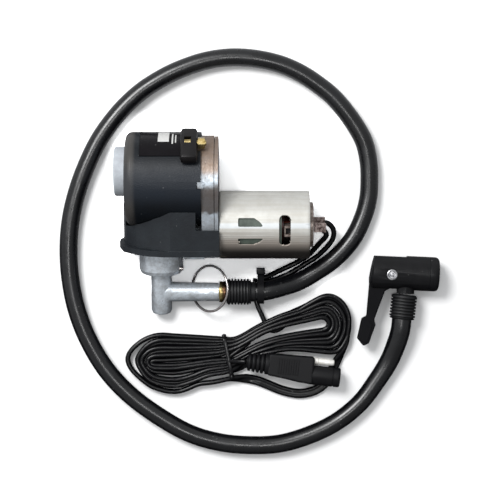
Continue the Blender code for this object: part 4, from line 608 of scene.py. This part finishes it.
# Length along a path at its points
def runAlong(path):
    return np.concatenate([[0], np.cumsum(np.linalg.norm(np.diff(path, axis=0), axis=1))])


# The path's points at given lengths along it
def resampled(path, run, at):
    return np.stack([np.interp(at, run, path[:, k]) for k in range(3)], 1)


# Even points along cubic segments whose handles follow each point's neighbours
def smoothPath(route, spacing, steps=24):
    route = np.array(route, float)
    ends = np.vstack([route[:1], route, route[-1:]])
    t = np.linspace(0, 1, steps, endpoint=False)[:, None]
    parts = []
    for before, start, end, after in zip(ends, ends[1:], ends[2:], ends[3:]):
        reach = np.linalg.norm(end - start) / 3
        leave, arrive = start + unit(end - before) * reach, end - unit(after - start) * reach
        outer = (1 - t) ** 3 * start + t**3 * end
        parts.append(outer + 3 * t * (1 - t) * ((1 - t) * leave + t * arrive))
    fine = np.vstack(parts + [route[-1:]])
    run = runAlong(fine)
    even = np.linspace(0, run[-1], int(ceil(run[-1] / spacing)) + 1)
    return resampled(fine, run, even), even


# A section of (side, up) points carried along the path, with its side level, scaled by a radius
# and rolled by an angle that may change from row to row
def sweptGrid(path, section, radius=1, roll=0):
    tangent = unit(np.gradient(path, axis=0))
    side = unit(np.cross(tangent, (0, 0, 1)))
    top = np.cross(side, tangent)
    even = np.zeros(len(path))
    turn, size = (roll + even)[:, None], (radius + even)[:, None, None]
    across = (side * np.cos(turn) + top * np.sin(turn))[:, None]
    rise = (top * np.cos(turn) - side * np.sin(turn))[:, None]
    return path[:, None] + size * (section[:, :1] * across + section[:, 1:] * rise)


# (cos, sin) round a circle
def roundSection(sides):
    return np.stack([np.cos(circle(sides)), np.sin(circle(sides))], 1)


def cordPiece(node, path, section, radius, stands=(), roll=0):
    part = capped(sweptGrid(path, section, radius, roll))
    return meshPiece(node, part, Matrix.Identity(4), stands, 0)


# Hose: a round section along its route. Radius: 5 mm with slow, barely visible swells, and 8 %
# more where it is pushed onto the fitting
hoseLook = dict(
    radius=5, diameter=0.01, sides=48, spacing=1, waves=((0.004, 17), (0.003, 6.3)),
    wider=0.08, widerFrom=50, widerOver=35,
)
flatRoute = [
    (52.85, -26.63), (63.55, -19.03), (72.95, -8.73), (78.75, 2.47), (82.05, 13.67),
    (82.85, 24.77), (82.25, 35.97), (79.45, 47.17), (72.35, 59.27), (62.85, 70.87),
    (53.85, 78.27), (44.15, 84.57), (32.95, 89.47), (18.95, 92.57), (5.05, 93.27),
    (-8.95, 91.27), (-22.85, 86.57), (-34.05, 81.07), (-45.25, 73.67), (-56.35, 63.07),
    (-66.75, 49.37), (-73.75, 35.97), (-80.05, 19.27), (-83.95, 2.47), (-85.15, -14.33),
    (-84.05, -31.03), (-80.55, -47.83), (-74.05, -64.53), (-63.85, -81.33), (-50.55, -95.43),
    (-34.05, -107.53), (-17.35, -116.73), (-0.55, -121.63), (16.15, -123.23), (32.95, -122.33),
    (49.75, -117.43), (64.75, -110.03), (77.65, -99.53),
]
hoseRoute = [
    (18.9, -37.51, 8.5), (23.85, -37.43, 8.65), (28.05, -36.63, 8.3), (32.95, -35.33, 7.3),
    (42.75, -32.23, 5.5), *((x, y, 5.1) for x, y in flatRoute), (87.25, -86.83, 5.2),
    (94.05, -75.63, 5.9), (98.35, -64.53, 8.1), (99.95, -58.03, 9.4), (100.6, -51.9, 9.6),
]
hosePath, hoseRun = smoothPath(hoseRoute, hoseLook["spacing"])
swell = 1 + sum(height * np.sin(hoseRun / length) for height, length in hoseLook["waves"])
nearEnd = (hoseRun - hoseRun[-1] + hoseLook["widerFrom"]) / hoseLook["widerOver"]
swell += hoseLook["wider"] * np.clip(nearEnd, 0, 1)
section = roundSection(hoseLook["sides"])
hose = cordPiece("air_hose", hosePath, section, hoseLook["radius"] * swell)
print("hose", len(hosePath))

# Motor wires: a round section. Radius: 1.45 mm, and less by a quarter circle at the two ends
wireLook = dict(radius=1.45, diameter=0.0029, sides=20, spacing=0.6, dome=0.8)
wireRoutes = dict(
    motor_wire_1=[
        (55.65, -3.43, 23), (57.65, -4.53, 22.4), (57.95, -6.73, 20.4), (55.35, -9.73, 16),
        (51.95, -13.73, 9.8), (48.35, -17.53, 5), (44.35, -20.13, 2.4), (38.65, -23.13, 1.7),
        (32.05, -26.13, 2), (27.45, -28.43, 4), (24.25, -29.73, 5.9), (20.9, -30, 6.4),
    ],
    motor_wire_2=[
        (55.65, 0.67, 9.6), (59.45, 0.57, 9.6), (62.45, -2.63, 8.6), (62.45, -7.63, 6.6),
        (58.65, -13.13, 4), (53.15, -18.23, 2), (47.05, -22.13, 1.7), (40.05, -26.43, 1.65),
        (33.55, -29.53, 1.7), (28.05, -31.43, 2.8), (24.25, -32, 3.9), (20.9, -32.1, 4),
    ],
)
for node, route in wireRoutes.items():
    path, run = smoothPath(route, wireLook["spacing"])
    along = runAlong(path)
    near = np.clip(np.minimum(along, along[-1] - along) / wireLook["dome"], 0, 1)
    radii = wireLook["radius"] * np.sqrt(np.clip(1 - (1 - near) ** 2, 0.02, 1))
    wire = cordPiece(node, path, roundSection(wireLook["sides"]), radii)

# Power lead: from the cable tie into the bundle, out into the loose loop, round and to the plug
leadRoute = [
    (19.05, -31, 4), (18.8, -32.6, 3.4), (18.85, -34.9, 3), (18.95, -37.93, 2.9),
    (19.25, -40.93, 2.9), (19.95, -44.13, 2.9), (21.4, -47.93, 2.9), (23.2, -51.6, 2.8),
    (24.6, -55.2, 2.7), (26.4, -58.6, 2.7), (29.2, -59.4, 2.7), (32.4, -57.6, 2.8),
    (35.6, -54.2, 3), (39.6, -50, 3.2), (44.6, -47, 3.3),
]
loopRoute = [
    (70.2, -66.6, 3), (67, -72.6, 2.8), (64.2, -77.4, 2.2), (61.4, -83.2, 1.8),
    (58, -89.2, 1.7), (52.4, -93, 1.7), (45.35, -94.7, 1.7), (39.35, -94.2, 1.7),
    (33.25, -92.6, 1.7), (27.45, -90.2, 1.8), (21.65, -87.8, 2), (16.25, -86.4, 2.4),
    (11, -86, 2.9), (4, -86.4, 3.2), (-4.2, -88.2, 3.4),
]
tailRoute = [
    (2.5, -76, 4.4), (5.85, -76.03, 5.6), (8.65, -76.2, 7.2), (10.4, -76.25, 8.4),
    (12.2, -76.28, 8.9), (14.05, -76.33, 9),
]
bundleOutline = [
    (33, -49.6), (44.25, -44.93), (55.25, -38.73), (62.25, -37.73), (69.65, -42.33),
    (73.85, -52.13), (72.85, -61.13), (69.45, -68.13), (65.25, -72.73), (54.05, -72.43),
    (39.05, -71.5), (27, -73.4), (19, -76.6), (13.5, -80.4), (8, -84), (1, -86.3),
    (-6.55, -87.93), (-15.75, -93.13), (-25.35, -96.33), (-37.15, -93.93), (-43.95, -89.93),
    (-52.15, -82.33), (-55.35, -74.73), (-52.85, -68.93), (-45.25, -62.23), (-35.55, -58.43),
    (-25.75, -58.93), (-11.75, -60.13), (-0.75, -61.23), (6.25, -62.33), (20, -55.6),
]
bundleSpine = [(-39, -77), (-24, -76.5), (4, -73.4), (24, -62.5), (40, -58), (57, -54)]
leadLook = dict(
    width=5.38, spacing=0.8, wire=1.33, apart=1.36, web=1.12, count=14, turns=6.93, stride=3,
    rimInset=1.45, spineGap=2.3, deepest=0.95, farLeftGap=2.6, height=3.55, layer=0.8,
    layerChange=0.28, joinSkip=7, loopSkip=3, flatHeight=2, tailHeight=4.8, dive=(34, 46),
    waveFrom=12.6, waveOver=5.5, laterFrom=0.85, laterOver=0.1, stepBack=0.95,
)


# Section of the lead, radius against angle: a figure eight of two round wires, with centres to
# both sides, and a shallow web between them
def twinSection():
    look = leadLook
    angle = circle(2 * look["count"])
    across, rise = np.abs(np.cos(angle)), np.abs(np.sin(angle))
    under = np.maximum(look["wire"] ** 2 - (look["apart"] * rise) ** 2, 0)
    reach = look["apart"] * across + np.sqrt(under)
    reach = np.maximum(reach, look["web"] / np.maximum(rise, 0.2) * (rise > 0.72))
    reach = np.maximum(reach, look["web"])[:, None]
    return reach * roundSection(len(angle))


# The nearest points of a polyline to the given points, and their distances
def nearestOn(points, line):
    best, near = np.full(len(points), 1e9), np.zeros((len(points), 2))
    for a, b in zip(line, line[1:]):
        t = np.clip(((points - a) @ (b - a)) / ((b - a) @ (b - a)), 0, 1)[:, None]
        on = a + t * (b - a)
        gap = np.linalg.norm(points - on, axis=1)
        near = np.where((gap < best)[:, None], on, near)
        best = np.minimum(gap, best)
    return near, best


# The wound lead as one line. Turn number u goes round the outline, inset towards the spine by
# rim inset + pitch * u, where the pitch is the depth there shared among the turns. Waves loosen
# the wide part, and a gap is left at the far left. Later turns take the first one's place where
# that one is out in the loose loop
def woundPath():
    look = leadLook
    closed, _ = smoothPath([(x, y, 0) for x, y in bundleOutline + bundleOutline[:1]], 1)
    rim = closed[:-1, :2]
    count = len(rim)
    spine, depth = nearestOn(rim, np.array(bundleSpine))
    mean = np.ones(9) / 9
    spine = np.stack([np.convolve(np.r_[c[-4:], c, c[:4]], mean, "valid") for c in spine.T], 1)
    u = np.linspace(0.02, look["turns"], int(look["turns"] * count / look["stride"]))
    i = ((u % 1) * count).astype(int) % count
    soft = np.hanning(41) / np.hanning(41).sum()

    def softly(mask):
        return np.convolve(np.tile(mask, 3), soft, "same")[count:2 * count][i]

    rimX, rimY = rim.T
    above = rimY > spine[:, 1]
    lowRight = softly(~above & (rimX > 9))
    joining = softly(above & (rimX > 16) & (rimX < 42))
    farLeft = softly((rimX < -44) & (rimY > -88))
    reach = depth[i]
    wide = np.clip((reach - look["waveFrom"]) / look["waveOver"], 0, 1)
    later = np.clip((u - look["laterFrom"]) / look["laterOver"], 0, 1)
    pitch = (reach - look["spineGap"]) / look["turns"]
    back = look["stepBack"] * np.maximum(lowRight, joining) * later
    inset = look["rimInset"] + pitch * (u - back)
    inset += wide * (0.45 * np.sin(u * 2 * pi * 1.31 + 1) + 0.35 * np.sin(u * 2 * pi * 0.77))
    inset += look["farLeftGap"] * farLeft * later * np.clip(1.5 - 0.22 * u, 0, 1.2)
    share = np.clip(inset / reach, 0, look["deepest"])
    flat = rim[i] + (spine[i] - rim[i]) * share[:, None]
    # Each turn lies a little above or below the last, and they change over at the right end
    layer = np.tanh(3 * np.cos(pi * (u + look["layerChange"])))
    line = np.column_stack([flat, look["height"] + look["layer"] * layer])
    x, y = flat.T
    right = (y < -60) & (x > 4)
    waist = (x < 12) & (x > -6) & (y < -74)
    inLoop = (u < 1) & (right | waist)
    start = int(np.argmax(inLoop))
    stop = start + int(np.argmin(inLoop[start:])) + look["loopSkip"]
    return np.vstack([leadRoute, line[look["joinSkip"]:start], loopRoute, line[stop:], tailRoute])


# The path is smoothed by the mean of five neighbours, three times
leadPath, _ = smoothPath(woundPath(), leadLook["spacing"])
for _ in range(3):
    shifts = [leadPath[i:len(leadPath) - 4 + i] for i in range(5)]
    leadPath[2:-2] = sum(shifts) / 5
leadRun = runAlong(leadPath)
# Roll of the lead: on edge, and laid flat and lower where it dives in and runs under the plug
flatness = np.clip((leadPath[:, 0] - 8) / 5, 0, 1) * np.clip((-73.5 - leadPath[:, 1]) / 2, 0, 1)
flatness *= leadPath[:, 2] < leadLook["tailHeight"]
flatness = np.maximum(flatness, (leadRun > leadLook["dive"][0]) & (leadRun < leadLook["dive"][1]))
kernel = np.hanning(31) / np.hanning(31).sum()
flatness = np.clip(np.convolve(flatness, kernel, "same"), 0, 1)
leadPath[:, 2] -= flatness * np.maximum(leadPath[:, 2] - leadLook["flatHeight"], 0)
lead = cordPiece(
    "power_lead", leadPath, twinSection(), 1, ("power_lead", "lead_hank", "lead_loop"),
    pi / 2 * (1 - flatness),
)
print("lead", len(leadPath), round(float(leadRun[-1]), 1))

# Hose nuts, radius against length: ribs with rounded tops and narrow valleys, and a collar at the
# pump's nut
nutLook = dict(length=13.6, radius=7.15, valley=6.2, ribs=7, sides=80, collar=2.8, corner=0.25)


def nutProfile(collar):
    length, radius, valley = nutLook["length"], nutLook["radius"], nutLook["valley"]
    pitch = (length - 1.6) / nutLook["ribs"]
    rows = [(0, 0), (0, radius - 1), (0.9, radius)]
    for rib in range(nutLook["ribs"]):
        start = 1 + rib * pitch
        rows += [(start, radius, 0.35), (start + 0.56 * pitch, radius, 0.35)]
        rows += [(start + 0.7 * pitch, valley, 0.25), (start + 0.92 * pitch, valley, 0.25)]
    rows += [(length - 0.9, radius, 0.3), (length, radius - 0.8, 0.3)]
    if collar:
        rows += [(length, 5.5, 0.2), (length + collar, 5.4, 0.8)]
    return rows + [(length + collar, 0)]


pumpNut = turned(nutProfile(nutLook["collar"]), nutLook["sides"], nutLook["corner"])
chuckNut = turned(nutProfile(0), nutLook["sides"], nutLook["corner"], axis="-Y")
meshPiece("hose_nut_pump", pumpNut, placed((3.15, -37.51, 8.46)))
meshPiece("hose_nut_chuck", chuckNut, chuckFrame @ placed((0, -12, 0), -3.9))

# Lever: a round cam and an arm, 5.4 mm thick, corners rounded by 1.1 mm and edges by 0.7 mm, and
# a raised thumb pad on its end
leverLook = dict(cam=5.2, camAt=0.92, half=2.7, corner=1.1, edge=0.7)
leverFrame = chuckFrame @ placed((-8.06, -1.2, 0))
camTurn = np.radians(np.linspace(-60, 130, 24))
camX = leverLook["camAt"] + leverLook["cam"] * np.cos(camTurn)
camY = leverLook["cam"] * np.sin(camTurn) - leverLook["camAt"]
leverOutline = [
    *zip(camX, camY), (-9.6, 1.6), (-11.8, -4.4), (-12.6, -23.4), (-14.2, -24.4), (-15.2, -24.9),
    (-17.2, -36.2), (-13.6, -40.3), (-10.6, -38.6), (-8.9, -33), (-7.4, -28.4), (-8.2, -25.2),
    (-5.6, -17), (-3, -9.2),
]
padOutline = [
    (-14.4, -26), (-16.2, -36), (-13.4, -38.9), (-11.4, -37.6), (-9, -28.2), (-10.6, -26.2)
]
armOutline, half = roundedLoop(leverOutline, leverLook["corner"], 3), leverLook["half"]
arm = roundedPrism(armOutline, -half, half, leverLook["edge"])
pad = roundedPrism(roundedLoop(padOutline, 1.2, 3), 2, 3, 0.35)
meshPiece("chuck_lever", merged(arm, pad), leverFrame)

# Rivet, radius against length: a flanged tube with a rolled rim round a dimple, stood upright
rivetProfile = [
    (9.25, 0), (9.25, 0.8, 0.2), (8.9, 1.2, 0.1), (8.9, 1.75, 0.1), (9.45, 2.2, 0.3),
    (9.3, 2.95, 0.3), (8.6, 2.95, 0.1), (8.6, 1.9, 0.1), (-8.6, 1.9, 0.1), (-8.6, 2.95, 0.1),
    (-9.1, 2.95, 0.3), (-9.1, 0),
]
rivet = moved(turned(rivetProfile, 48), placed((0, 0, 0), -90, "Y"))
meshPiece("chuck_rivet", rivet, leverFrame)

# Nose cap, radius against length: a cup with a broad rounded rim round the valve's mouth
capLoop = [
    (15.2, 5.5), (15.2, 7.2, 0.2), (13.3, 7.2, 0.1), (13.1, 7.4, 0.1), (13.1, 9.5, 0.15),
    (18.4, 9.5, 2.6), (18.4, 4.2, 0.5), (15.2, 4.2, 0.2), (15.2, 5.4),
]
meshPiece("chuck_cap", turned(capLoop, 72, ring=True), chuckFrame)

# Plug body: an outline 9.5 mm thick, thin grip bars across its middle, a relief of shrinking ribs
# turned about the lead, and a flattened shroud turned about the socket
plugLook = dict(
    half=4.75, edge=1.1, corner=1.6, bars=9, barsFrom=5.6, barPitch=1.35, barWidth=0.7,
    ribs=5, ribPitch=2.4, ribRadius=4.9, ribTaper=0.18, ribDepth=1.3, reliefStretch=(1, 1.2, 1),
    shroudStretch=(1, 1, 0.86), shroudAt=(0, -3.5, 0), pinAt=(0, 4.4, 0),
)
plugOutline = [
    (0, 5.9), (12, 6.2), (24.6, 6.6), (25.6, 5.6), (25.6, -8.6), (18, -8.2), (11, -7.2), (0, -6)
]
half, plugSides = plugLook["half"], roundedLoop(plugOutline, plugLook["corner"])
plugParts = [roundedPrism(plugSides, -half, half, plugLook["edge"])]
for bar in range(plugLook["bars"]):
    at = plugLook["barsFrom"] + plugLook["barPitch"] * bar
    end = at + plugLook["barWidth"]
    outline = roundedLoop([(at, -4.6), (end, -4.6), (end, 4), (at, 4)], 0.3, 3)
    plugParts.append(roundedPrism(outline, 4.3, 5.05, 0.2))
relief = [(1, 0)]
for rib in range(plugLook["ribs"]):
    at, outer = -plugLook["ribPitch"] * rib, plugLook["ribRadius"] - plugLook["ribTaper"] * rib
    inner = outer - plugLook["ribDepth"]
    relief += [(at if rib else 1, outer, 0.5), (at - 1.44, outer, 0.5)]
    relief += [(at - 1.9, inner, 0.2), (at - 2.3, inner, 0.2)]
relief += [(-11.9, 3, 0.5), (-11.9, 0)]
plugParts.append(turned(relief, 64, 0.3, 4, stretch=plugLook["reliefStretch"]))
shroudLoop = [
    (30, 2.7), (40.6, 2.7, 0.6), (40.6, 5.4, 1.6), (37.2, 5.4, 0.15), (37, 5.05, 0.15),
    (36.5, 5.05, 0.15), (36.3, 5.4, 0.15), (23, 5.4, 0.6), (23, 1, 0.2), (25.6, 1, 0.2),
    (25.6, 2.7, 0.2), (29.9, 2.7),
]
shroud = dict(ring=True, stretch=plugLook["shroudStretch"], shift=plugLook["shroudAt"])
plugParts.append(turned(shroudLoop, 72, **shroud))
meshPiece("plug_body", merged(*plugParts), plugFrame)

# Pin, radius against length: a plated rod with a shallow groove and a rounded tip
pinProfile = [
    (25, 0), (25, 2, 0.1), (27.4, 2, 0.1), (27.7, 1.75, 0.1), (28.3, 1.75, 0.1),
    (28.6, 2, 0.1), (33, 2, 0.4), (36.6, 1.7, 0.9), (36.6, 0),
]
meshPiece("plug_pin", turned(pinProfile, 48, shift=plugLook["pinAt"]), plugFrame)

# Split ring: a torus hinged at its edge, whose wire is pinched to a thin slit at the gap by
# 1 - slit exp(-((turn - gap) / width)^2)
ringLook = dict(
    radius=12.7, wire=0.65, gap=radians(200), slit=0.3, width=0.02, steps=220, sides=20
)
ringTurn = circle(ringLook["steps"])[:, None]
wireTurn = circle(ringLook["sides"])[None]
pinch = np.exp(-((ringTurn - ringLook["gap"]) / ringLook["width"]) ** 2)
thickness = ringLook["wire"] * (1 - ringLook["slit"] * pinch)
fromCentre = ringLook["radius"] + thickness * np.cos(wireTurn)
ringX = ringLook["radius"] + fromCentre * np.cos(ringTurn)
ringGrid = np.stack([ringX, fromCentre * np.sin(ringTurn), thickness * np.sin(wireTurn)], -1)
ringFrame = placed((-16.147, -35.734, 0.75), -37.995, "Y")
meshPiece("split_ring", capped(ringGrid, True), ringFrame, angle=0)

# Ferrule and barb, radius against length: a grooved brass collar, its bore tube and the barbed
# tail inside the hose nut
barbLoop = [
    (17.5, 2), (17.5, 2.6, 0.1), (3.8, 2.6, 0.1), (3.8, 5.85, 0.4), (2.35, 5.85, 0.15),
    (2.15, 5.45, 0.1), (1.9, 5.45, 0.1), (1.7, 5.85, 0.15), (0.1, 5.85, 0.4), (0.1, 2.7, 0.1),
    (-7.9, 2.7, 0.2), (-7.9, 1.4, 0.2), (17.5, 1.4, 0.1), (17.5, 1.9),
]
meshPiece("hose_barb", turned(barbLoop, 80, ring=True), pumpFrame @ placed((0, -64.6, 0)))


# Signed distance of points to a closed outline, less than 0 inside, and its nearest points
def outlineGap(points, outline):
    closed = np.vstack([outline, outline[:1]])
    near, gap = nearestOn(points, closed)
    inside = np.zeros(len(points), bool)
    for a, b in zip(closed, closed[1:]):
        crosses = (a[1] > points[:, 1]) != (b[1] > points[:, 1])
        rise = b[1] - a[1] if b[1] != a[1] else 1.0
        inside ^= crosses & (points[:, 0] < a[0] + (b[0] - a[0]) * (points[:, 1] - a[1]) / rise)
    return np.where(inside, -gap, gap), near


motorLook = dict(
    radius=18.7, axis=-26, wall=1, left=0.3, right=49.8, frontCorner=1.1, rearCorner=0.5,
    seam=78, seamDepth=0.25, seamHalf=0.8, hole=5.2, snap=0.17, edge=0.12, edgeAngle=60,
)
motorWindows = [
    roundedLoop([(10.7, 3.5), (10.7, 8.1), (19.4, 8.1), (22.4, 6.2), (24.6, 3.5)], 0.9),
    roundedLoop([(10.5, -3), (24.9, -3), (22.6, -5.4), (19.6, -6.8), (10.9, -6.8)], 0.9),
    roundedLoop([(32.9, -7.6), (39.2, -7.6), (39.2, 9.6), (32.9, 9.6)], 3, 8),
]


# How far a quarter circle of that radius draws in, at a distance from the end
def cornerInset(distance, radius):
    return radius * (1 - np.sqrt(1 - np.clip(1 - distance / radius, 0, 1) ** 2))


# Motor can, radius against length and angle: a tube less the insets of two rounded ends and of a
# seam groove. The windows are left out, with the nearest points drawn onto their outlines
def motorCan():
    m = motorLook
    left, right, radius = m["left"], m["right"], m["radius"]
    frontSteps, rearSteps = (np.linspace(0, pi / 2, count)[1:-1] for count in (6, 5))
    x = np.unique(np.concatenate([
        np.linspace(left, right, 34), np.arange(10, 25.6, 0.25), np.arange(32.4, 39.9, 0.25),
        left + m["frontCorner"] * (1 - np.cos(frontSteps)),
        right - m["rearCorner"] * (1 - np.cos(rearSteps)),
    ]))
    theta = np.unique(np.concatenate([
        np.linspace(-pi, pi, 97)[:-1], np.radians(np.arange(-27, 35, 0.75)),
        np.radians(m["seam"] + np.array([-1, -0.6, 0.6, 1])),
    ]))
    gridX, gridT = np.meshgrid(x, theta, indexing="ij")
    inset = cornerInset(gridX - left, m["frontCorner"])
    inset += cornerInset(right - gridX, m["rearCorner"])
    inset += m["seamDepth"] * (np.abs(gridT - radians(m["seam"])) < radians(m["seamHalf"]))
    flat = np.stack([gridX.ravel(), (radius * np.sin(gridT)).ravel()], 1)
    upper = (np.cos(gridT) > 0).ravel()
    columns = len(theta)
    faces = gridFaces(len(x), columns)
    cut = np.zeros(len(faces), bool)
    for outline in motorWindows:
        gap, near = outlineGap(flat, outline)
        draw = (np.abs(gap) < m["snap"]) & upper
        flat[draw] = near[draw]
        cut |= (outlineGap(flat[faces].mean(1), outline)[0] < 0) & upper[faces].all(1)
    onTop = np.arcsin(np.clip(flat[:, 1] / radius, -1, 1))
    angle = np.where(upper, onTop, gridT.ravel())
    radii = radius - inset.ravel()
    skin = np.stack([flat[:, 0], radii * np.sin(angle) + m["axis"], radii * np.cos(angle)], 1)
    # Front wall: a disc with the bearing's hole, drawn in from the first row
    across, rise = m["hole"] * np.sin(theta) + m["axis"], m["hole"] * np.cos(theta)
    hole = np.stack([np.full(columns, left), across, rise], 1)
    first, base = np.arange(columns), len(skin)
    second = np.roll(first, -1)
    wall = np.stack([first, base + first, base + second, second], 1)
    points, faces = np.vstack([skin, hole]), np.vstack([faces[~cut], wall])
    used = np.unique(faces)
    back = np.full(len(points), -1)
    back[used] = np.arange(len(used))
    return points[used], [back[faces]]


can = meshPiece("motor_can", motorCan(), pumpFrame, angle=40)
shell = can.modifiers.new("wall", "SOLIDIFY")
shell.thickness = motorLook["wall"] * mm
shell.offset = -1
bevelled(can, motorLook["edge"], motorLook["edgeAngle"])
print("motor can", len(can.data.polygons))

# Hank tie: a flat band once round the bundle. Its centre line is a superellipse across the bundle,
# half * sign(cos) |cos|^corner against height * sign(sin) |sin|^corner, with knots on its top
tieLook = dict(
    half=12.3, low=0.5, high=7.5, width=2.3, thick=0.9, corner=0.45, sectionCorner=0.6,
    turns=97, steps=160, sides=16, knots=((-11.6, 1.5), (11.4, 1.7), (9.2, 1.1)), squash=0.8,
)


# sign(wave) |wave|^power
def powered(wave, power):
    return np.sign(wave) * np.abs(wave) ** power


def hankTie():
    look = tieLook
    turn = np.linspace(0, 2 * pi, look["turns"])
    middle, half = (look["high"] + look["low"]) / 2, (look["high"] - look["low"]) / 2
    across = look["half"] * powered(np.cos(turn), look["corner"])
    height = middle + half * powered(np.sin(turn), look["corner"])
    path = np.stack([across, 0 * turn, height], 1)
    run = runAlong(path)
    path = resampled(path, run, np.linspace(0, run[-1], look["steps"], endpoint=False))
    ahead = unit(np.roll(path, -1, 0) - np.roll(path, 1, 0))
    away = np.stack([ahead[:, 2], 0 * ahead[:, 0], -ahead[:, 0]], 1)[:, None]
    section = powered(roundSection(look["sides"]), look["sectionCorner"])
    section = (section * np.array([look["thick"] / 2, look["width"] / 2]))[None]
    grid = path[:, None] + section[..., :1] * away + section[..., 1:] * np.array([0, 1, 0])
    parts = [capped(grid, True)]
    for place, size in look["knots"]:
        angle = np.linspace(0, pi, 13)
        ball = size * np.stack([-np.cos(angle), np.sin(angle) * look["squash"]], 1)
        parts.append(turned(ball, 24, 0, shift=(place, 0, look["high"] - 0.3)))
    return merged(*parts)


meshPiece("hank_tie", hankTie(), placed((3.95, -73.9, 0), -79))


# Every other CAD node is shown as a merged copy, some with small bevels
refinedLook = dict(angle=32, weld=2e-6, flatten=1.5)
bevels = dict(
    end_boss=0.35, head_casting=0.4, cylinder_cowl=0.3, crank_cover=0.35, gear_case=0.35,
    motor_plate=0.2, end_bell=0.3, chuck_body=0.5, cable_tie=0.15, clamp_nut=0.15,
    clamp_screw=0.15, terminal_1=0.12, terminal_2=0.12,
)
others = [node for node in frame["nodes"] if node not in shownNodes]
for node in others:
    work = bmesh.new()
    work.from_mesh(frame["nodes"][node].data)
    bmesh.ops.remove_doubles(work, verts=work.verts, dist=refinedLook["weld"])
    flatten = radians(refinedLook["flatten"])
    bmesh.ops.dissolve_limit(work, angle_limit=flatten, verts=work.verts, edges=work.edges)
    data = bpy.data.meshes.new(node + "_skin")
    work.to_mesh(data)
    work.free()
    made = finishPiece(data, node, angle=refinedLook["angle"])
    if node in bevels:
        bevelled(made, bevels[node], refinedLook["angle"]).harden_normals = True
print("refined", len(others))

print("cords")

# Floor: white to the camera, with painted light about the pump that lifts its shadows there, pale
# to +Y and dark to -Y as shiny parts see it, and grey to all other light. Places are in metres
floorLook = dict(
    half=3, roughness=0.9, specular=0.1, seen=(243, 243, 243), paintedLightNearPump=(350, 350, 350),
    alongX=((-0.066, -0.058), (0.072, 0.06)), alongY=((-0.04, -0.032), (0.066, 0.056)),
    mirroredY=(-0.06, 0.1), mirroredNear=(38, 38, 40), mirroredFar=(205, 206, 208),
    bounced=(150, 150, 152),
)
half = floorLook["half"]
corners = [(-half, -half, 0), (half, -half, 0), (half, half, 0), (-half, half, 0)]
floorData = bpy.data.meshes.new("floor")
floorData.from_pydata(corners, [], [(0, 1, 2, 3)])
floor = newObject("floor", floorData)
floorPaint, paint, floorShader = newMaterial("floor_paint")
floorShader["Roughness"].default_value = floorLook["roughness"]
floorShader["Specular IOR Level"].default_value = floorLook["specular"]
rays = shaderNode(paint, "LightPath", {})
floorX, floorY, _ = splitNode(paint, shaderNode(paint, "TexCoord", {})["Object"])
window = rampNode(paint, floorY, *floorLook["mirroredY"])
mirrored = mixTone(paint, window, floorLook["mirroredNear"], floorLook["mirroredFar"])
bounced = mixTone(paint, rays["Is Glossy Ray"], floorLook["bounced"], mirrored)
# Painted light: a brighter patch of floor about the pump
alongX = bandNode(paint, floorX, *floorLook["alongX"])
pumpLightPool = product(paint, alongX, bandNode(paint, floorY, *floorLook["alongY"]))
table = mixTone(paint, pumpLightPool, floorLook["seen"], floorLook["paintedLightNearPump"])
seen = mixTone(paint, rays["Is Camera Ray"], bounced, table)
paint.links.new(seen, floorShader["Base Color"])
floorData.materials.append(floorPaint)

# Surroundings, strength against direction: brighter towards +Y and -X
skyLook = dict(base=0.58, x=-0.16, y=0.34, least=0.08, color=(0.97, 0.985, 1, 1))
world = bpy.data.worlds.new("surroundings")
bpy.context.scene.world = world
world.use_nodes = True
sky = world.node_tree
background = sky.nodes["Background"].inputs
skyX, skyY, _ = splitNode(sky, shaderNode(sky, "TexCoord", {})["Generated"])
glowY, glowX = product(sky, skyY, skyLook["y"]), product(sky, skyX, skyLook["x"])
glow = total(sky, glowY, glowX, skyLook["base"])
sky.links.new(mathNode(sky, "MAXIMUM", glow, skyLook["least"]), background["Strength"])
background["Color"].default_value = skyLook["color"]

lights = dict(
    key=dict(power=13.5, size=0.5, place=(-0.44, 0.46, 1.02)),
    overhead=dict(power=2.2, size=0.22, place=(0, -0.07, 1.35)),
)
lightTarget = Vector((0.016, -0.015, 0))
for name, look in lights.items():
    light = newObject(name, bpy.data.lights.new(name, "AREA"))
    light.data.shape = "DISK"
    light.data.size = look["size"]
    light.data.energy = look["power"]
    light.location = look["place"]
    light.rotation_mode = "QUATERNION"
    towards = lightTarget - Vector(look["place"])
    light.rotation_quaternion = towards.to_track_quat("-Z", "Y")
print("floor and lights")
